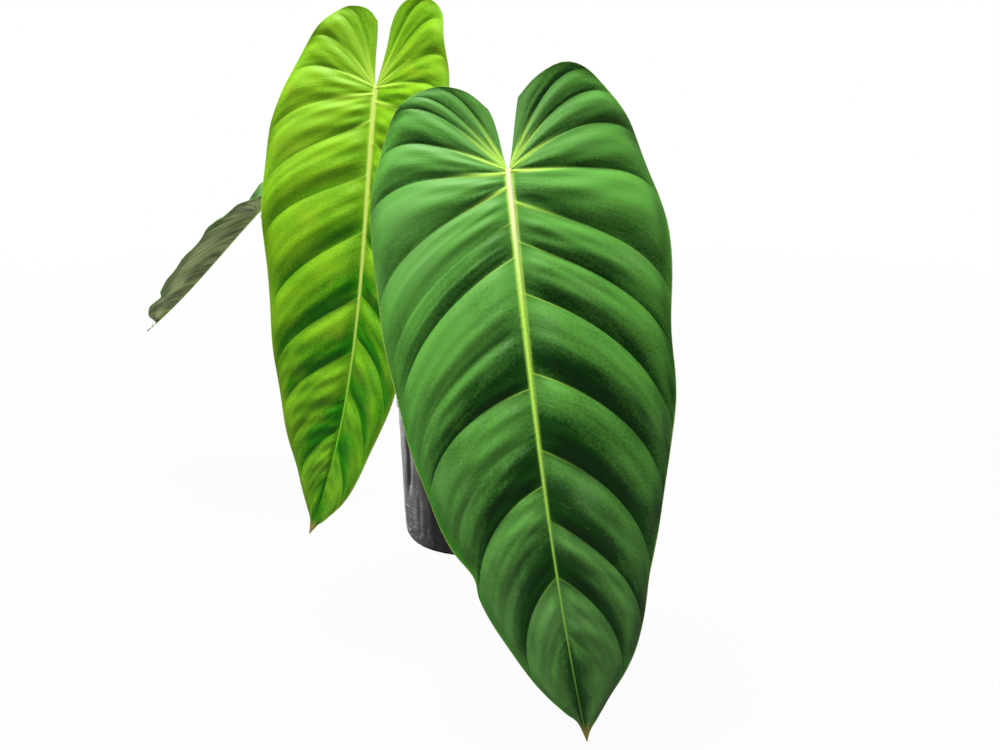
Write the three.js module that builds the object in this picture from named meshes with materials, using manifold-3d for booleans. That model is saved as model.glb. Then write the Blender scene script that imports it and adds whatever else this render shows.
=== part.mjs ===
// A young philodendron esmeraldense in a soft black nursery bag.
// Millimetres, +Z up. The origin is the middle of the bag's base, on the surface that it stands on.
// The largest leaf hangs towards -Y, the second one towards -X and -Y, and the third one to the back left.

import * as THREE from 'three';
import Module from 'manifold-3d';
import { mergeVertices } from 'three/addons/utils/BufferGeometryUtils.js';

const wasm = await Module();
wasm.setup();

// Clearance between neighbouring pieces
const GAP = 0.3;

// Bag: outer radius by height, wall, folded hem and drain holes
const bag = {
  sides: 40,
  floor: 2,
  wall: 1.5,
  outer: [[50, 0], [53.6, 1.4], [55.3, 5], [56.7, 25], [57.8, 55], [59.2, 95], [59.9, 113]],
  floorCorner: 0.6,
  hemOut: 1.3,
  hemLow: 114.5,
  rimHeight: 130,
  rimBevel: 1.2,
  rimSpread: 0.5,
  rimRound: 0.3,
  rimLip: 0.9,
  creaseDepth: 0.9,
  creaseFoot: 12,
  drainRadius: 4,
  drainCircle: 28,
  drainCount: 4,
  drillSides: 12,
  drillLength: 12,
};
const lastRadius = bag.outer.at(-1)[0];

// Upright creases of the bag: share of the depth, number round the bag, turn, and drift with the height
const creases = [[0.6, 7, 1.1, 0], [0.4, 11, 0, 1 / 45]];

// Potting mix: height at the wall and in the middle, how far below its edge the side ends, the radii
// of its crown over the side's, the size of its lumps and how far inside the bag's wall they stop
const mix = {
  edgeHeight: 112,
  crownHeight: 116.5,
  sideDrop: 10,
  edgeOut: 0.4,
  crownShares: [0.88, 0.7, 0.5, 0.33],
  lump: 1.1,
  lumpInset: 4,
};

// Stem: a short ringed caudex with leaf scars, and the roots that go down from it
const stem = {
  sides: 18,
  foot: 62,
  footRadius: 8.4,
  footRise: 6,
  buriedRadius: 12,
  baseRadius: 11.6,
  topRadius: 9.4,
  crownRadius: 5.6,
  collar: 119,
  top: 151,
  crownRise: 4,
  rings: 4,
  ringFoot: 1.5,
  ringStart: 2,
  ringEdge: 0.6,
  ringHeight: 0.9,
  neck: 0.4,
  holeClearance: 0.4,
};

// Roots: their angles in degrees and the route of each, as distance from the stem's axis and height
const roots = {
  sides: 6,
  segments: 10,
  angles: [18, 98, 186, 322],
  radius: 2.1,
  tipRadius: 1.5,
  route: [[6, 124], [15, 125.5], [24, 119], [31, 108.5], [33, 84]],
};

// Blades: thickness, midrib keel below, depth of the quilting and waviness of the margin
const blade = { thickness: 0.8, keelDepth: 3, keelTip: 0.35, keelTaper: 0.7, quilt: 0.125, ripple: 2.2 };

// Quilting over t, which runs from the midrib to the margin: where it is full, where it dies out again
// and how much of it. weakLoss is what a weak vein takes off the panels beside it and weakRise the height
// that is left over the vein itself. In panels under rippleWidth the margin's waves are lower.
const quilting = {
  full: 0.12,
  dieStart: 0.78,
  dieShare: 0.85,
  weakLoss: 0.5,
  weakRise: 0.8,
  rippleWidth: 20,
};

// Curve of a vein: where its two controls lie over its reach, and the shares of the straight way and of
// the margin's own direction in the direction in which it arrives
const veinCurve = { leave: 0.42, arrive: 0.3, straight: 0.5, along: 0.8, marginStep: 0.02 };

// The sinus edge stands this many degrees wider than the first vein, and the last line this many degrees
// from the midrib
const sinusOpening = 8;
const tipAngle = 30;

// Sampling of a blade: rows from the midrib to the margin, and columns along the midrib
const bladeRows = [0, 0.05, 0.22, 0.42, 0.62, 0.8, 0.93, 1];
const columnSpacing = 12;
const closestColumns = 2.2;
const columnsPerLobePanel = 2;
const tipColumns = 6;
const tipCrowding = 0.75;

// Petioles: radius at shares of the way from the stem to the blade
const petiole = { sides: 8, segments: 20, shares: [0, 0.12, 0.45, 1], radii: [5.6, 4.8, 3.4, 2.7] };

// New leaf, still rolled: its body is the part of a half wave from swellStart on
const spear = {
  sides: 10,
  segments: 14,
  radius: 4.6,
  roll: 0.14,
  turns: 1.5,
  swellStart: 0.28,
  swellSpan: 0.7,
  fullness: 0.7,
};

// Dry sheath that held the new leaf
const sheath = {
  columns: 7,
  rows: 9,
  foot: 131,
  top: 204,
  radius: 12.6,
  topRadius: 8.6,
  taper: 0.6,
  lean: 7,
  thickness: 0.8,
  halfAngle: 62,
  middleAngle: 22,
  narrowing: 0.86,
};

// How far under the blade's face the middle of the petiole's end lies, when it comes from behind,
// and when it comes in level, lower by a share of its own radius
const petioleSeat = blade.thickness + blade.keelDepth + GAP;
const levelShare = 0.2;
const levelSeat = petioleSeat + levelShare * petiole.radii.at(-1);

// Halves of the front leaf. u is the distance from the midrib and v the distance below the sinus.
// sinus holds the two control points of the curve from the sinus to the first margin point.
// margin runs round the lobe and down to the tip. Each vein has the place of its root on the midrib,
// its angle to the midrib, the margin station where it ends, counted in margin points, and its strength.
const frontRightHalf = {
  sinus: [[3.5, -10], [6.5, -30]],
  margin: [
    [10, -43], [23, -55], [40, -61.5], [57, -55], [73, -36], [85, -12], [94, 18], [96, 54], [92, 101],
    [87.5, 141], [79.5, 176], [66.5, 210], [56.5, 238], [47.3, 266], [30.8, 292], [10, 312.5],
    [3.2, 319.5], [0, 326],
  ],
  veins: [
    [0, 153, 2.8, 1], [0, 147, 3.7, 1], [0, 129, 4.7, 1], [0, 89, 5.9, 1], [18, 70, 7.5, 1],
    [41, 67, 8.3, 1], [71, 68, 9.5, 1], [116.5, 70, 10.6, 1], [160, 65, 12, 1], [199, 54, 13.2, 0.7],
    [231, 52, 14.2, 0.9], [265, 42, 14.8, 0.5],
  ],
};
const frontLeftHalf = {
  sinus: [[3.5, -10], [2.5, -27]],
  margin: [
    [8.3, -37.5], [20, -48.5], [37, -53.2], [54, -49], [67, -37], [76.5, -15], [84, 10], [86.3, 34],
    [84.5, 70], [81, 110], [75.7, 144], [68.2, 177], [57.7, 208], [47.4, 226], [45.4, 240], [36, 262],
    [24.5, 285.5], [9.5, 306.5], [3.1, 314], [0, 326],
  ],
  veins: [
    [0, 155, 2, 1], [0, 145, 3, 1], [0, 138, 3.7, 1], [0, 121, 4.9, 1], [1.5, 93, 6.1, 1], [9, 68, 8, 1],
    [30, 64, 9, 0.4], [50, 66, 9.7, 1], [90, 66, 10.7, 0.45], [125.5, 79, 11.2, 1], [150, 66, 12.5, 0.35],
    [180, 71, 14.1, 1], [205, 58, 15.3, 0.4], [231, 55, 16.2, 0.9], [265, 42, 17, 0.5],
  ],
};

// Halves of the left leaf
const leftRightHalf = {
  sinus: [[3.2, -8], [8, -24]],
  margin: [
    [10.4, -38], [15.5, -47], [25, -53], [37, -54], [48.5, -50], [56.8, -41], [62, -25], [65.7, -8],
    [67.8, 15], [68.3, 45], [66.5, 80], [62.5, 115], [56, 150], [47, 180], [40.5, 204], [34.7, 226],
    [26.5, 252], [18.2, 272], [8.8, 287], [3.7, 293], [0, 301.7],
  ],
  veins: [
    [0, 146, 3.6, 1], [0, 136, 5.4, 1], [0, 116, 7, 1], [0, 93, 8.1, 1], [9, 76, 9.2, 1],
    [36, 66, 10.3, 1], [69, 66, 11.3, 1], [102, 66, 12.3, 1], [135, 64, 13.3, 1], [163, 68, 14.4, 0.9],
    [198, 60, 16, 0.9], [238, 50, 17.2, 0.7], [265, 42, 18.2, 0.5],
  ],
};
const leftLeftHalf = {
  sinus: [[3.2, -14], [0.8, -32]],
  margin: [
    [2, -44], [8, -51], [17, -53.5], [27, -52.3], [38, -45], [48, -33], [57, -16], [65, 6], [72, 30],
    [74.5, 62], [73, 90], [68, 124], [61.5, 158], [54, 192], [45, 220], [33, 246], [21, 266], [10, 282],
    [3.4, 292], [0, 301.7],
  ],
  veins: [
    [0, 154, 2.7, 1], [0, 150, 3.6, 1], [0, 138, 5, 1], [0, 117, 6.4, 1], [4, 84, 8.1, 1],
    [21, 66, 9.3, 1], [57, 70, 10.4, 1], [94, 66, 11.9, 1], [137, 61, 13.1, 1], [173, 61, 14.2, 1],
    [204, 60, 15.2, 0.5], [226, 50, 16.2, 0.9], [258, 40, 17.3, 0.5],
  ],
};

// The back leaf's right half, and the other one, which is the front leaf's, smaller and narrower
const backRightHalf = {
  sinus: [[2.2, -6.3], [1.6, -17]],
  margin: [
    [5, -23.6], [12, -30.6], [22.7, -33.5], [33.4, -30.9], [41.6, -23.3], [46.9, -9.5], [48.8, 6.3],
    [48.2, 21.4], [46.3, 44.1], [44.4, 69.3], [42.5, 90.7], [39.7, 109.6], [34.3, 124.7], [29.6, 133.6],
    [29.5, 141.8], [29.9, 153], [24.9, 167.6], [15.4, 180.2], [6.6, 188.7], [2, 193.7], [0, 212.3],
  ],
  veins: [
    [0, 151, 2, 1], [0, 141, 3, 1], [0, 130, 4, 1], [0, 114, 5.3, 1], [1, 92, 6.5, 1], [5.4, 68, 8.1, 1],
    [18.3, 64, 9.1, 0.4], [30.9, 65, 10, 1], [56.7, 66, 10.8, 0.45], [78.8, 72, 11.5, 1],
    [94.5, 66, 12.5, 0.35], [112, 63, 14.3, 1], [129, 58, 15.5, 0.4], [145.5, 55, 17, 0.9],
    [167, 42, 18, 0.5],
  ],
};
const backSize = { width: 0.52, length: 0.63 };
const backLeftHalf = resizedHalf(frontRightHalf, backSize.width, backSize.length);

// Place and bend of each blade: the midrib's cubic curve from the sinus to the tip, the way the blade
// faces, the angle at which its halves rise from the midrib at the sinus and at the tip, how the halves
// curl across and how the lobes bend back, both as curvature per millimetre. The petiole starts in the
// stem, passes the points of its route and comes to the blade at places given as down and out of its face.
const leaves = [
  {
    name: 'front',
    right: frontRightHalf,
    left: frontLeftHalf,
    midrib: [[27.7, -240, 329], [38.7, -286, 231], [49, -324, 129], [71.5, -344, 25]],
    face: [0.05, -1, 0.35],
    fold: [-6, -10],
    curl: -0.0035,
    lobeBend: -0.004,
    petioleStart: [1, -8, 124],
    petioleRoute: [[3, -24, 152], [7, -66, 222], [15, -142, 290]],
    approach: [[0, -30], [0, -petioleSeat]],
    color: 0x2c6a24,
    roughness: 0.42,
  },
  {
    name: 'left',
    right: leftRightHalf,
    left: leftLeftHalf,
    midrib: [[-58, -130, 370], [-67, -160, 275], [-67, -179, 173], [-106, -185, 80]],
    face: [-0.55, -1, 0.3],
    fold: [15, 12],
    curl: 0,
    lobeBend: -0.002,
    petioleStart: [-7, -5.5, 142],
    petioleRoute: [[-15, -13, 172], [-23, -34, 250], [-32, -66, 322]],
    approach: [[0, -30], [0, -petioleSeat]],
    color: 0x6da31c,
    roughness: 0.4,
  },
  {
    name: 'back',
    right: backRightHalf,
    left: backLeftHalf,
    midrib: [[-172, 30, 266], [-213, 67, 226], [-256, 106, 178], [-304, 137, 139]],
    face: [-0.687, 0.031, 0.726],
    fold: [18, 27],
    curl: 0,
    lobeBend: 0.002,
    petioleStart: [-7, 4, 134],
    petioleRoute: [[-18, 11, 158], [-52, 19, 212], [-98, 21, 247]],
    approach: [[-18, -22], [0, -levelSeat]],
    color: 0x66784a,
    roughness: 0.5,
  },
];

const spearRoute = [[3, 3.5, 146], [4, 5, 175], [7, 10, 215], [13, 19, 262]];

// A half's numbers at another width and another length
function resizedHalf(half, width, length) {
  const resized = ([u, v]) => [u * width, v * length];
  return {
    sinus: half.sinus.map(resized),
    margin: half.margin.map(resized),
    veins: half.veins.map(([root, ...rest]) => [root * length, ...rest]),
  };
}

const smoothstep = THREE.MathUtils.smoothstep;
const lerp = THREE.MathUtils.lerp;

function interpolate(x, xs, ys) {
  const last = xs.length - 1;
  if (x <= xs[0]) return ys[0];
  if (x >= xs[last]) return ys[last];
  let i = 0;
  while (x > xs[i + 1]) i += 1;
  return lerp(ys[i], ys[i + 1], (x - xs[i]) / (xs[i + 1] - xs[i] || 1));
}

function cubic(a, b, c, d, t) {
  const s = 1 - t;
  return s * s * s * a + 3 * s * s * t * b + 3 * s * t * t * c + t * t * t * d;
}

// One half of a blade as a family of vein lines. Line x runs at t from 0, on the midrib, to 1, on the
// margin. Whole numbers of x are the veins, 0 is the edge of the sinus and the last one is the tip.
function halfFamily(half, length) {
  const margin = new THREE.SplineCurve(half.margin.map(([u, v]) => new THREE.Vector2(u, v)));
  const lastStation = half.margin.length - 1;
  const marginPoint = (station) => margin.getPoint(THREE.MathUtils.clamp(station / lastStation, 0, 1));
  const edgeAngle = half.veins[0][1] + sinusOpening;
  const rows = [[0, edgeAngle, 0, 0], ...half.veins, [length, tipAngle, lastStation, 0]];
  const index = rows.map((row, i) => i);
  const root = rows.map((row) => row[0]);
  const lobePanels = half.veins.filter((vein) => vein[0] === 0).length;
  const column = (values, x) => interpolate(x, index, values);
  const angles = rows.map((row) => THREE.MathUtils.degToRad(row[1]));
  const stations = rows.map((row) => row[2]);
  const strengths = rows.map((row) => row[3]);
  const sinusCurve = [[0, 0], ...half.sinus];
  const panels = rows.length - 1;

  function point(x, t) {
    const station = column(stations, x);
    const start = new THREE.Vector2(0, column(root, x));
    const end = marginPoint(station);
    const angle = column(angles, x);
    const reach = start.distanceTo(end);
    const leave = new THREE.Vector2(Math.sin(angle), Math.cos(angle));
    const out = start.clone().addScaledVector(leave, veinCurve.leave * reach);
    const { marginStep } = veinCurve;
    const along = marginPoint(station + marginStep).sub(marginPoint(station - marginStep)).normalize();
    const arrive = end.clone().sub(out).setLength(veinCurve.straight);
    arrive.addScaledVector(along, veinCurve.along).normalize();
    const inward = end.clone().addScaledVector(arrive, -veinCurve.arrive * reach);
    const straight = THREE.MathUtils.clamp(x - panels + 1, 0, 1);
    out.lerp(start.clone().lerp(end, 1 / 3), straight);
    inward.lerp(start.clone().lerp(end, 2 / 3), straight);
    const sinusShare = THREE.MathUtils.clamp(1 - x, 0, 1);
    [start, out, inward].forEach((control, i) => {
      control.lerp(new THREE.Vector2(...sinusCurve[i]), sinusShare);
    });
    return new THREE.Vector2(
      cubic(start.x, out.x, inward.x, end.x, t),
      cubic(start.y, out.y, inward.y, end.y, t),
    );
  }

  // Distance across the panel at x and t, square to the vein
  function panelWidth(x, t) {
    const step = 0.05;
    const across = point(Math.min(x + step, panels), t).sub(point(Math.max(x - step, 0), t));
    const along = point(x, Math.min(t + step, 1)).sub(point(x, Math.max(t - step, 0))).normalize();
    return Math.abs(across.cross(along)) / (2 * step);
  }

  // Height of the quilted surface over the blade's even form
  function relief(x, t) {
    const panel = Math.min(Math.floor(x), panels - 1);
    const f = x - panel;
    const width = panelWidth(THREE.MathUtils.clamp(x, 0.3, panels - 0.3), t);
    const low = 1 - strengths[panel];
    const high = 1 - strengths[panel + 1];
    const pillow = 4 * f * (1 - f) * (1 - quilting.weakLoss * Math.max(low, high));
    const shallow = quilting.weakRise * lerp(low, high, smoothstep(f, 0, 1));
    const edges = (panel === 0 ? f : 1) * (panel === panels - 1 ? 1 - f : 1);
    const dying = quilting.dieShare * smoothstep(t, quilting.dieStart, 1);
    const fade = smoothstep(t, 0, quilting.full) * (1 - dying);
    const broad = Math.min(1, width / quilting.rippleWidth);
    const ripple = blade.ripple * t ** 4 * Math.sin(Math.PI * x) * broad;
    return (blade.quilt * width * (pillow + shallow) * fade + ripple) * edges;
  }

  const indexOfRoot = (v) => interpolate(v, root.slice(lobePanels), index.slice(lobePanels));
  return { point, relief, indexOfRoot, lobePanels, root, panels };
}

// The bent form of a blade: at gives the place of a point u across, v down and lift out of the face
function bladeForm(leaf) {
  const points = leaf.midrib.map((p) => new THREE.Vector3(...p));
  const midrib = new THREE.CubicBezierCurve3(...points);
  midrib.arcLengthDivisions = 400;
  const length = midrib.getLength();
  const face = new THREE.Vector3(...leaf.face);

  function frameAt(v) {
    const share = THREE.MathUtils.clamp(v / length, 0, 1);
    const centre = midrib.getPointAt(share);
    const down = midrib.getTangentAt(share);
    if (v < 0) {
      const side = face.clone().cross(down).normalize();
      const normal = down.clone().cross(side);
      const turn = leaf.lobeBend * -v;
      centre.addScaledVector(down, -Math.sin(turn) / leaf.lobeBend);
      centre.addScaledVector(normal, -(1 - Math.cos(turn)) / leaf.lobeBend);
      down.multiplyScalar(Math.cos(turn)).addScaledVector(normal, Math.sin(turn));
    }
    const side = face.clone().cross(down).normalize();
    const normal = down.clone().cross(side);
    return { centre, side, normal, share };
  }

  function at(u, v, lift) {
    const { centre, side, normal, share } = frameAt(v);
    const fold = THREE.MathUtils.degToRad(lerp(leaf.fold[0], leaf.fold[1], share));
    const distance = Math.abs(u);
    const hand = u < 0 ? -1 : 1;
    const turned = fold + leaf.curl * distance;
    let across = distance * Math.cos(fold);
    let out = distance * Math.sin(fold);
    if (leaf.curl !== 0) {
      across = (Math.sin(turned) - Math.sin(fold)) / leaf.curl;
      out = (Math.cos(fold) - Math.cos(turned)) / leaf.curl;
    }
    across -= lift * Math.sin(turned);
    out += lift * Math.cos(turned);
    return centre.addScaledVector(side, hand * across).addScaledVector(normal, out);
  }

  return { at, length };
}

// The places on the midrib that both halves of a blade share, with one at each vein's root
function midribStations(right, left, length) {
  const lastRoot = Math.max(right.root[right.panels - 1], left.root[left.panels - 1]);
  const marks = [0, ...right.root, ...left.root].filter((v) => v > 0 && v <= lastRoot).sort((a, b) => a - b);
  const stations = [];
  let previous = 0;
  for (const mark of marks) {
    const gap = mark - previous;
    if (gap < closestColumns) continue;
    const steps = Math.max(1, Math.round(gap / columnSpacing));
    for (let i = 1; i <= steps; i += 1) stations.push(previous + (gap * i) / steps);
    previous = mark;
  }
  for (let i = 1; i <= tipColumns; i += 1) {
    stations.push(lerp(previous, length, (i / tipColumns) ** tipCrowding));
  }
  return stations;
}

// A closed sheet: place(column, row, side) gives a grid of points on its front (0) and its back (1)
function sheet(columns, rows, place) {
  const grid = new THREE.PlaneGeometry(1, 1, columns - 1, rows - 1);
  const count = grid.attributes.position.count;
  const positions = [];
  for (const side of [0, 1]) {
    for (let i = 0; i < count; i += 1) {
      positions.push(...place(i % columns, Math.floor(i / columns), side).toArray());
    }
  }
  const front = Array.from(grid.index.array);
  const faces = [...front];
  const edges = new Set();
  for (let i = 0; i < front.length; i += 3) {
    const [a, b, c] = front.slice(i, i + 3);
    faces.push(c + count, b + count, a + count);
    for (const edge of [[a, b], [b, c], [c, a]]) edges.add(edge.join());
  }
  for (const edge of edges) {
    const [a, b] = edge.split(',').map(Number);
    if (!edges.has(`${b},${a}`)) faces.push(b, a, a + count, b, a + count, b + count);
  }
  const geometry = new THREE.BufferGeometry();
  geometry.setAttribute('position', new THREE.Float32BufferAttribute(positions, 3));
  geometry.setIndex(faces);
  return closed(geometry);
}

// Shared vertices merged, empty triangles dropped and faces turned outwards
function closed(source) {
  const bare = source.clone();
  bare.deleteAttribute('normal');
  bare.deleteAttribute('uv');
  const merged = mergeVertices(bare, 1e-4);
  const old = merged.index.array;
  const kept = [];
  let volume = 0;
  const corner = [new THREE.Vector3(), new THREE.Vector3(), new THREE.Vector3()];
  for (let i = 0; i < old.length; i += 3) {
    const [a, b, c] = old.slice(i, i + 3);
    if (a === b || b === c || c === a) continue;
    kept.push(a, b, c);
    [a, b, c].forEach((vertex, k) => corner[k].fromBufferAttribute(merged.attributes.position, vertex));
    volume += corner[0].dot(corner[1].clone().cross(corner[2]));
  }
  if (volume < 0) kept.reverse();
  merged.setIndex(kept);
  return merged;
}

function toSolid(geometry) {
  const vertProperties = new Float32Array(geometry.attributes.position.array);
  const triVerts = new Uint32Array(geometry.index.array);
  return new wasm.Manifold(new wasm.Mesh({ numProp: 3, vertProperties, triVerts }));
}

// The largest of the bodies that a cut leaves
function mainBody(solid) {
  return solid.decompose().reduce((best, body) => (body.volume() > best.volume() ? body : best));
}

function toGeometry(solid) {
  const mesh = solid.getMesh();
  const geometry = new THREE.BufferGeometry();
  geometry.setAttribute('position', new THREE.Float32BufferAttribute(mesh.vertProperties, 3));
  geometry.setIndex(Array.from(mesh.triVerts));
  return geometry;
}

// A tube along a route with a radius that follows radiusAt(share, angle)
function tube(route, sides, segments, radiusAt) {
  const points = route.map((p) => new THREE.Vector3(...p));
  const path = new THREE.CatmullRomCurve3(points, false, 'centripetal');
  const frames = path.computeFrenetFrames(segments, false);
  const geometry = new THREE.CylinderGeometry(1, 1, 1, sides, segments);
  const position = geometry.attributes.position;
  for (let i = 0; i < position.count; i += 1) {
    const share = position.getY(i) + 0.5;
    const k = Math.round(share * segments);
    const x = position.getX(i);
    const z = position.getZ(i);
    const radius = radiusAt(share, Math.atan2(z, x));
    const place = path.getPointAt(share);
    place.addScaledVector(frames.normals[k], x * radius).addScaledVector(frames.binormals[k], z * radius);
    position.setXYZ(i, place.x, place.y, place.z);
  }
  return closed(geometry);
}

function lathe(profile, sides) {
  const geometry = new THREE.LatheGeometry(profile.map(([r, z]) => new THREE.Vector2(r, z)), sides);
  geometry.rotateX(Math.PI / 2);
  return geometry;
}

// Soft upright creases in the bag, which the potting mix follows. They die out at the foot.
function crease(angle, height) {
  let folds = 0;
  for (const [share, number, turn, drift] of creases) {
    folds += share * Math.cos(number * angle + turn + drift * height);
  }
  return bag.creaseDepth * folds * smoothstep(height, 0, bag.creaseFoot);
}

function creased(geometry, extra = () => 0) {
  const position = geometry.attributes.position;
  for (let i = 0; i < position.count; i += 1) {
    const [x, y, z] = [position.getX(i), position.getY(i), position.getZ(i)];
    const radius = Math.hypot(x, y);
    const angle = Math.atan2(y, x);
    const scale = 1 + crease(angle, z) / lastRadius;
    position.setXYZ(i, x * scale, y * scale, z + extra(radius, angle, z));
  }
  return closed(geometry);
}

function innerWall(inset) {
  const lowest = bag.floor + bag.floorCorner;
  return bag.outer.slice(1).map(([r, z]) => [r - bag.wall - inset, Math.max(z, lowest) + inset]);
}

function makeBag() {
  const hemRadius = lastRadius + bag.hemOut;
  const innerRadius = lastRadius - bag.wall;
  const outside = [
    ...bag.outer,
    [hemRadius, bag.hemLow],
    [hemRadius + bag.rimSpread, bag.rimHeight - bag.rimBevel],
    [hemRadius - bag.rimRound, bag.rimHeight],
    [innerRadius + bag.rimLip, bag.rimHeight],
    [innerRadius + bag.rimRound, bag.rimHeight - bag.rimBevel],
  ];
  const inside = innerWall(0).reverse();
  const profile = [[0, 0], ...outside, ...inside, [bag.outer[0][0] - bag.wall, bag.floor], [0, bag.floor]];
  let solid = toSolid(creased(lathe(profile, bag.sides)));
  for (let i = 0; i < bag.drainCount; i += 1) {
    const angle = ((i + 0.5) / bag.drainCount) * 2 * Math.PI;
    const { drainRadius, drillLength, drillSides } = bag;
    const drill = new THREE.CylinderGeometry(drainRadius, drainRadius, drillLength, drillSides);
    drill.rotateX(Math.PI / 2);
    drill.translate(bag.drainCircle * Math.cos(angle), bag.drainCircle * Math.sin(angle), 0);
    solid = solid.subtract(toSolid(closed(drill)));
  }
  return toGeometry(solid);
}

// Lumps of the mix: two waves that wind round its crown
function lump(radius, angle, z) {
  if (z < mix.edgeHeight - GAP || radius > lastRadius - mix.lumpInset) return 0;
  return mix.lump * (Math.sin(5 * angle + radius / 3) + 0.7 * Math.cos(3 * angle - radius / 5));
}

function stemRadius(z) {
  const share = (z - stem.collar) / (stem.top - stem.collar);
  return lerp(stem.baseRadius, stem.topRadius, share);
}

function stemProfile() {
  const profile = [
    [0, stem.foot],
    [stem.footRadius, stem.foot],
    [stem.buriedRadius, stem.foot + stem.footRise],
    [stem.buriedRadius, stem.collar],
  ];
  const step = (stem.top - stem.collar - stem.crownRise) / stem.rings;
  for (let i = 0; i < stem.rings; i += 1) {
    const low = stem.collar + i * step;
    const high = low + step;
    profile.push([stemRadius(low) - stem.neck, low + stem.ringFoot]);
    profile.push([stemRadius(high) - stem.neck, high - stem.ringStart]);
    profile.push([stemRadius(high) + stem.ringHeight, high - stem.ringEdge]);
  }
  profile.push([stem.topRadius - stem.ringHeight, stem.top - stem.ringStart]);
  profile.push([stem.crownRadius, stem.top], [0, stem.top + stem.ringEdge]);
  return profile;
}

function rootTube(degrees, clearance) {
  const angle = THREE.MathUtils.degToRad(degrees);
  const points = roots.route.map(([r, z]) => [r * Math.cos(angle), r * Math.sin(angle), z]);
  points.at(-1)[2] -= clearance;
  const radiusAt = (share) => lerp(roots.radius, roots.tipRadius, share) + clearance;
  return tube(points, roots.sides, roots.segments, radiusAt);
}

function petioleTube(leaf, clearance) {
  const form = bladeForm(leaf);
  const approach = leaf.approach.map(([down, out]) => form.at(0, down, out).toArray());
  const route = [leaf.petioleStart, ...leaf.petioleRoute, ...approach];
  const radiusAt = (share) => interpolate(share, petiole.shares, petiole.radii) + clearance;
  return tube(startedBack(route, clearance), petiole.sides, petiole.segments, radiusAt);
}

// A route that starts a little further back, for the socket of a tube
function startedBack(route, distance) {
  const [first, second] = route.map((p) => new THREE.Vector3(...p));
  const back = first.clone().sub(second).setLength(distance);
  return [first.add(back).toArray(), ...route.slice(1)];
}

function spearTube(clearance) {
  return tube(startedBack(spearRoute, clearance), spear.sides, spear.segments, (share, angle) => {
    const wound = THREE.MathUtils.euclideanModulo(angle / (2 * Math.PI) + share * spear.turns, 1);
    const body = Math.sin(Math.PI * (spear.swellStart + spear.swellSpan * share)) ** spear.fullness;
    return spear.radius * body * (1 + spear.roll * (clearance ? 1 : wound)) + clearance;
  });
}

function makeStem() {
  let solid = toSolid(closed(lathe(stemProfile(), stem.sides)));
  for (const degrees of roots.angles) solid = solid.add(toSolid(rootTube(degrees, 0)));
  for (const leaf of leaves) solid = solid.subtract(toSolid(petioleTube(leaf, GAP)));
  solid = solid.subtract(toSolid(spearTube(GAP)));
  return toGeometry(mainBody(solid));
}

function makeMix() {
  const side = innerWall(GAP).filter(([, z]) => z < mix.edgeHeight - mix.sideDrop);
  const last = side.at(-1)[0];
  const profile = [[0, bag.floor + GAP], [bag.outer[0][0] - bag.wall - GAP, bag.floor + GAP], ...side];
  profile.push([last + mix.edgeOut, mix.edgeHeight]);
  for (const share of mix.crownShares) {
    profile.push([last * share, lerp(mix.edgeHeight, mix.crownHeight, 1 - share)]);
  }
  profile.push([0, mix.crownHeight]);
  let solid = toSolid(creased(lathe(profile, bag.sides), lump));
  const hole = [[0, stem.foot - GAP], [stem.buriedRadius + stem.holeClearance, stem.foot - GAP]];
  hole.push([stem.buriedRadius + stem.holeClearance, bag.rimHeight], [0, bag.rimHeight]);
  solid = solid.subtract(toSolid(closed(lathe(hole, stem.sides))));
  for (const degrees of roots.angles) {
    solid = solid.subtract(toSolid(rootTube(degrees, stem.holeClearance)));
  }
  return toGeometry(solid);
}

function makeBlade(leaf) {
  const form = bladeForm(leaf);
  const right = halfFamily(leaf.right, form.length);
  const left = halfFamily(leaf.left, form.length);
  const columns = [];
  for (let i = 0; i < right.lobePanels * columnsPerLobePanel; i += 1) {
    columns.push({ right: i / columnsPerLobePanel, left: i / columnsPerLobePanel, v: 0 });
  }
  columns.push({ right: right.lobePanels, left: left.lobePanels, v: 0 });
  for (const v of midribStations(right, left, form.length)) {
    columns.push({ right: right.indexOfRoot(v), left: left.indexOfRoot(v), v });
  }
  const rows = [...bladeRows.slice(1).reverse().map((t) => -t), ...bladeRows];
  return sheet(columns.length, rows.length, (i, j, back) => {
    const t = Math.abs(rows[j]);
    const family = rows[j] < 0 ? left : right;
    const x = rows[j] < 0 ? columns[i].left : columns[i].right;
    const flat = family.point(x, t);
    const hand = rows[j] < 0 ? -1 : 1;
    const share = columns[i].v / form.length;
    const onMidrib = t === 0;
    const keel = onMidrib && share < 1 ? lerp(blade.keelDepth, blade.keelTip, share ** blade.keelTaper) : 0;
    const lift = (onMidrib ? 0 : family.relief(x, t)) - back * (blade.thickness + keel);
    return form.at(hand * flat.x, flat.y, lift);
  });
}

// The dry sheath stands round the new leaf's foot, open at the front and pointed at the top
function makeSheath() {
  return sheet(sheath.columns, sheath.rows, (i, j, back) => {
    const rise = j / (sheath.rows - 1);
    const open = sheath.halfAngle * (1 - sheath.narrowing * rise ** 2);
    const across = (2 * i) / (sheath.columns - 1) - 1;
    const angle = THREE.MathUtils.degToRad(sheath.middleAngle + open * across);
    const outward = back ? 0 : sheath.thickness;
    const radius = lerp(sheath.radius, sheath.topRadius, rise ** sheath.taper) + outward;
    const lean = sheath.lean * rise ** 2;
    const z = lerp(sheath.foot, sheath.top, rise);
    return new THREE.Vector3(radius * Math.cos(angle) + lean, radius * Math.sin(angle) + lean, z);
  });
}

const group = new THREE.Group();

function addPiece(name, geometry, color, roughness) {
  const material = new THREE.MeshStandardMaterial({ color, roughness, metalness: 0 });
  const mesh = new THREE.Mesh(geometry, material);
  mesh.name = name;
  group.add(mesh);
}

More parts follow.
